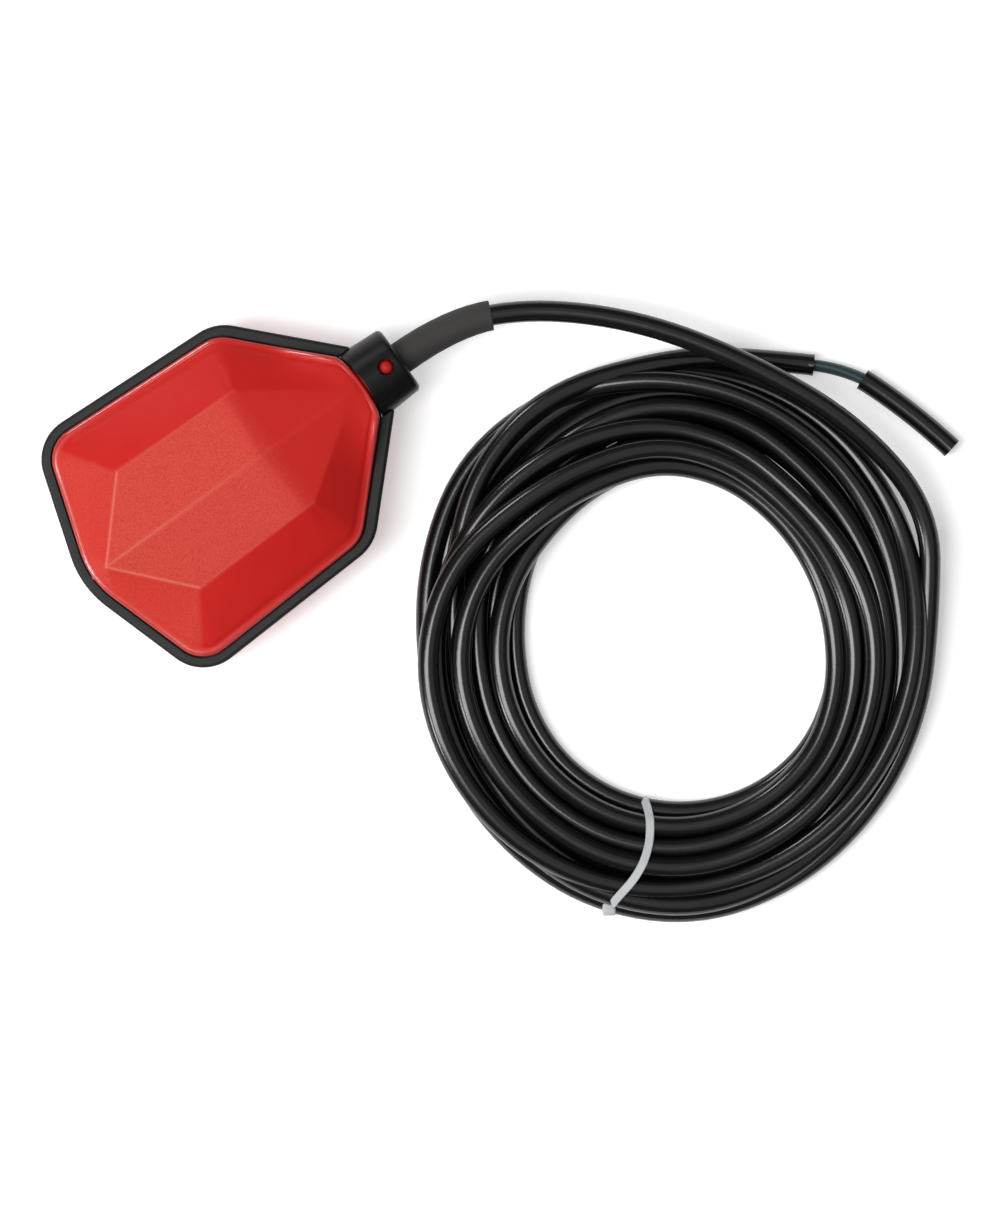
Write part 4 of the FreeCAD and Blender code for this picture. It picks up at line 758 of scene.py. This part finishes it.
def makeSleeve():
    # outer face tapering to the end, a rounded edge, the end face, and the bore back to the start
    back, length, edge, bore = sleeve["backMm"], sleeve["lengthMm"], sleeve["edgeMm"], sleeve["bore"]
    share = np.linspace(0, 1, sleeve["steps"])
    out = share * (length - edge + back) - back
    taper = sleeve["radius"] + (sleeve["endRadius"] - sleeve["radius"]) * share ** sleeve["taperPower"]
    turn = np.linspace(0, 1, sleeve["edgeSteps"] + 1)[1:] * np.pi / 2
    stations = np.concatenate([[-back], out, length - edge + edge * np.sin(turn), [length, length],
                               out[::-1], [-back]])
    radii = np.concatenate([[bore], taper, sleeve["endRadius"] - edge * (1 - np.cos(turn)),
                            [bore + sleeve["mouthMm"]], np.full(len(out) + 2, bore)])
    return meshPiece("cableSleeve", [closedPart([alongGrid(cableLine, stations, radii, sleeve["sides"])])],
                     "sleeve", ["strain_relief_sleeve"])


# stripped end: bare bundle and the loose piece of jacket
strippedEnd = {
    "bundle": ((171.5, -79.5, 3.7), (177.8, -85.0, 3.7), (182.2, -92.9, 3.7)),
    "stub": ((182.2, -92.9, 3.7), (188.8, -109.0, 3.7), (192.8, -128.4, 3.7)),
    "bundleRadius": 1.95, "lobeMm": 0.10, "twistMm": 45.0, "insideMm": 3.0,
    "jacketRadius": 3.5, "jacketBore": 2.7,
    # cut edges pressed out a little: how far, over what length, and its share at the stub's two ends
    "lipMm": 0.18, "lipFadeMm": 1.2, "nearLip": 1.0, "farLip": 0.3,
    # edge on the cable's own cut: from, widest and to, along the cable from its end
    "tailLipMm": (-1.5, -0.4, 0.5), "tailLipSunkMm": 0.05, "tailPoints": 60,
    # filler disc, cores and copper at the far cut
    "coreDepthMm": 3.0, "coreOffset": 1.35,
    "discBackMm": 0.5, "coreRadius": 1.12, "coreBackMm": 0.15, "strandRadius": 0.62, "strandBackMm": 0.05,
    "sides": 48, "rodSides": 24, "bundleSteps": 60, "jacketSteps": 80,
}


def makeBundle():
    # three cores under their wrap: a round with three faint lobes that turn slowly along it
    line = centreLine(strippedEnd["bundle"])
    length = np.linalg.norm(np.diff(line, axis=0), axis=1).sum()
    inside = strippedEnd["insideMm"]
    stations = np.linspace(-inside, length + inside, strippedEnd["bundleSteps"])
    angle = np.linspace(0, 2 * np.pi, strippedEnd["sides"] + 1)
    radii = strippedEnd["bundleRadius"] + strippedEnd["lobeMm"] * np.cos(
        3 * angle + 2 * np.pi * stations[:, None] / strippedEnd["twistMm"])
    stations = np.concatenate([stations[:1], stations, stations[-1:]])
    radii = np.vstack([radii[:1] * 0, radii, radii[-1:] * 0])
    return meshPiece("bareCoreBundle", [closedPart([alongGrid(line, stations, radii)])], "core_bundle",
                     ["core_bundle"])


def jacketTube(line, length, startLip, endLip):
    # one wall of jacket with its cut edges pressed out a little, unevenly round the edge
    steps, sides, fade = strippedEnd["jacketSteps"], strippedEnd["sides"], strippedEnd["lipFadeMm"]
    angle = np.linspace(0, 2 * np.pi, sides + 1)
    uneven = 0.5 + 0.5 * np.cos(angle * 2 + 0.7) * np.cos(angle * 3)
    stations = np.linspace(0, 1, steps) * length
    flare = startLip * np.exp(-stations / fade) + endLip * np.exp(-(length - stations) / fade)
    outerRadii = strippedEnd["jacketRadius"] + strippedEnd["lipMm"] * flare[:, None] * uneven
    boreRadii = np.full((steps, sides + 1), strippedEnd["jacketBore"])
    return closedPart([alongGrid(line, np.concatenate([stations[:1], stations, stations[::-1]]),
                                 np.vstack([boreRadii[:1], outerRadii, boreRadii]))])


def rodAlong(line, start, end, radius, turn):
    # a thin rod beside the centre line, at an angle round it in whole degrees
    stations = [start, start, end, end]
    grid = alongGrid(line, stations, [0.0, radius, radius, 0.0], strippedEnd["rodSides"])
    middle = alongGrid(line, stations, [0.0] * 4, 4)[:, 0]
    spoke = alongGrid(line, stations, [strippedEnd["coreOffset"]] * 4, 360)[:, turn] - middle
    return closedPart([grid + spoke[:, None]])


def makeStub():
    # jacket, filler disc, and three cores with their copper at the far cut
    line = centreLine(strippedEnd["stub"])
    length = np.linalg.norm(np.diff(line, axis=0), axis=1).sum()
    inner, disc = length - strippedEnd["coreDepthMm"], length - strippedEnd["discBackMm"]
    bore = strippedEnd["jacketBore"]
    parts = [jacketTube(line, length, strippedEnd["nearLip"], strippedEnd["farLip"]),
             closedPart([alongGrid(line, [inner, inner, disc, disc], [0.0, bore, bore, 0.0])])]
    used = ["cable_jacket", "core_bundle"]
    for turn, finish in ((90, "core_brown"), (210, "core_blue"), (330, "core_black")):
        for kind, slotName in (("core", finish), ("strand", "copper")):
            parts.append(rodAlong(line, inner, length - strippedEnd[kind + "BackMm"],
                                  strippedEnd[kind + "Radius"], turn))
            used.append(slotName)
    return meshPiece("looseJacketEnd", parts, "cable_jacket", ["cable_end_stub"], materials=used)


def makeTailLip():
    # the jacket's cut edge where the bundle leaves it, on the cable's own line
    line = cableLine[-strippedEnd["tailPoints"]:]
    length = np.linalg.norm(np.diff(line, axis=0), axis=1).sum()
    start, widest, end = strippedEnd["tailLipMm"]
    stations = length + np.array([start, start, widest, end, end, start])
    uneven = 0.5 + 0.5 * np.cos(np.linspace(0, 2 * np.pi, strippedEnd["sides"] + 1) * 3 + 1.1)
    bore = np.full((1, len(uneven)), strippedEnd["jacketBore"])
    rings = (strippedEnd["jacketRadius"] - np.array([[strippedEnd["tailLipSunkMm"]], [0.0], [0.0]])
             + strippedEnd["lipMm"] * uneven * np.array([[0.0], [0.5], [1.0]]))
    radii = np.vstack([bore, rings, bore, bore])
    return meshPiece("tailCutEdge", [closedPart([alongGrid(line, stations, radii)])], "cable_jacket")


# nylon tie round the coil
tie = {
    # over the strands, from inside to outside the coil, in the view's axes from its centre
    "across": ((-15.0, -43.5), (-12.8, -48.0), (-10.7, -52.6), (-8.9, -57.6), (-8.4, -63.5),
               (-9.4, -70.9), (-12.8, -78.2), (-16.9, -83.0), (-20.4, -86.9), (-22.8, -90.6),
               (-24.6, -95.0)),
    "widthMm": 2.7, "thickMm": 0.8, "headMm": (4.4, 4.4, 3.8),
    "headUpMm": 1.4, "headOutMm": 0.4,
    "cornerMm": 0.18,
    "headPower": 8,                # higher is squarer
    "nearMm": 12.0,                # strands nearer than this to the strap's path are tied
    "pathSteps": 140, "pathSmooth": 17, "directions": 181, "loopSteps": 420,
    "headRings": 33, "headSides": 49,
}


def strapPath():
    # plan of the strap as evenly spaced points in mm, with the distance along it
    places = np.array(tie["across"])
    share = np.linspace(0, len(places) - 1, tie["pathSteps"])
    window = np.ones(tie["pathSmooth"]) / tie["pathSmooth"]
    columns = [np.interp(share, np.arange(len(places)), column) for column in places.T]
    columns = [np.pad(column, len(window) // 2, mode="reflect", reflect_type="odd") for column in columns]
    x, y = turnAxes(*(np.convolve(column, window, mode="valid") for column in columns))
    plan = np.column_stack([x + cable["coilCentre"][0], y + cable["coilCentre"][1]])
    return plan, np.concatenate([[0.0], np.cumsum(np.linalg.norm(np.diff(plan, axis=0), axis=1))])


def roundedBlock(middle, along, wide, size):
    # a block with rounded edges: a ball pushed out towards a cube
    polar, turn = np.meshgrid(np.linspace(0, np.pi, tie["headRings"]),
                              np.linspace(0, 2 * np.pi, tie["headSides"]))
    ball = np.stack([np.sin(polar) * np.cos(turn), np.sin(polar) * np.sin(turn), np.cos(polar)], axis=-1)
    power = tie["headPower"]
    cube = ball / (np.abs(ball) ** power).sum(axis=-1, keepdims=True) ** (1 / power)
    half = np.array(size) / 2
    return closedPart([middle + cube[..., :1] * half[0] * along + cube[..., 1:2] * half[1] * wide
                       + cube[..., 2:] * (0, 0, half[2])])


def makeTie():
    # The strap is the tight loop (convex hull) round the strands that cross its plan: for each
    # direction the furthest strand's edge. It is a flat band carried along that loop.
    plan, reach = strapPath()
    apart = cableLine[:, None, :2] - plan[None, ::2]
    nearest = np.argmin((apart**2).sum(axis=-1), axis=1) * 2
    ahead = np.gradient(plan, reach, axis=0)
    offset = cableLine[:, :2] - plan[nearest]
    side = offset[:, 0] * ahead[nearest, 1] - offset[:, 1] * ahead[nearest, 0]
    close = (np.linalg.norm(offset, axis=1) < tie["nearMm"]) & (nearest > 0) & (nearest < len(plan) - 2)
    cross = np.nonzero((side[:-1] * side[1:] < 0) & close[:-1] & close[1:])[0]
    strandAt, strandZ = reach[nearest[cross]], cableLine[cross, 2]
    angle = np.linspace(0, 2 * np.pi, tie["directions"])
    radius = cable["diameterMm"] / 2 + tie["thickMm"] / 2
    furthest = np.argmax(strandAt[:, None] * np.cos(angle) + strandZ[:, None] * np.sin(angle), axis=0)
    loopAt = strandAt[furthest] + radius * np.cos(angle)
    loopZ = strandZ[furthest] + radius * np.sin(angle)
    # the same loop at evenly spaced places
    length = np.concatenate([[0.0], np.cumsum(np.hypot(np.diff(loopAt), np.diff(loopZ)))])
    even = np.linspace(0, length[-1], tie["loopSteps"])
    loopAt, loopZ, angle = (np.interp(even, length, values) for values in (loopAt, loopZ, angle))
    loopZ = np.maximum(loopZ, tie["thickMm"] / 2)
    centre = np.column_stack([np.interp(loopAt, reach, plan[:, k]) for k in range(2)] + [loopZ])
    along = np.column_stack([np.interp(loopAt, reach, ahead[:, k]) for k in range(2)] + [loopZ * 0])
    along /= np.linalg.norm(along, axis=1, keepdims=True)
    wide = along[:, [1, 0, 2]] * (-1, 1, 0)
    out = along * np.cos(angle)[:, None] + np.sin(angle)[:, None] * (0, 0, 1)
    w, h, c = tie["widthMm"] / 2, tie["thickMm"] / 2, tie["cornerMm"]
    ring = np.array([(w - c, h), (w, h - c), (w, c - h), (w - c, -h), (c - w, -h), (-w, c - h), (-w, h - c),
                     (c - w, h), (w - c, h)])
    band = centre[:, None] + wide[:, None] * ring[:, 0, None] + out[:, None] * ring[:, 1, None]
    band[-1] = band[0]
    # the head stands outside the outermost strand, square to the view
    start = np.argmax(loopAt)
    right, up = (np.array([*turnAxes(*axis), 0.0]) for axis in ((1.0, 0.0), (0.0, 1.0)))
    headAt = centre[start] - up * tie["headOutMm"] + (0, 0, tie["headUpMm"])
    parts = [closedPart([band]), roundedBlock(headAt, up, right, tie["headMm"])]
    print("tie round", len(cross), "strands")
    return meshPiece("nylonTie", parts, "tie_nylon", ["cable_tie"])


sleevePiece = makeSleeve()
bundlePiece = makeBundle()
stubPiece = makeStub()
tailLipPiece = makeTailLip()
tiePiece = makeTie()
print("sleeve, stripped end and tie made")
cableObject = nurbsThrough("cable", cablePoints, cable["diameterMm"])
cableObject.data.materials.append(finishes["cable_jacket"])
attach(cableObject, "float")
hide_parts("cable_lead", "cable_coil", "cable_tail")
print("cable wound:", len(cablePoints), "points")
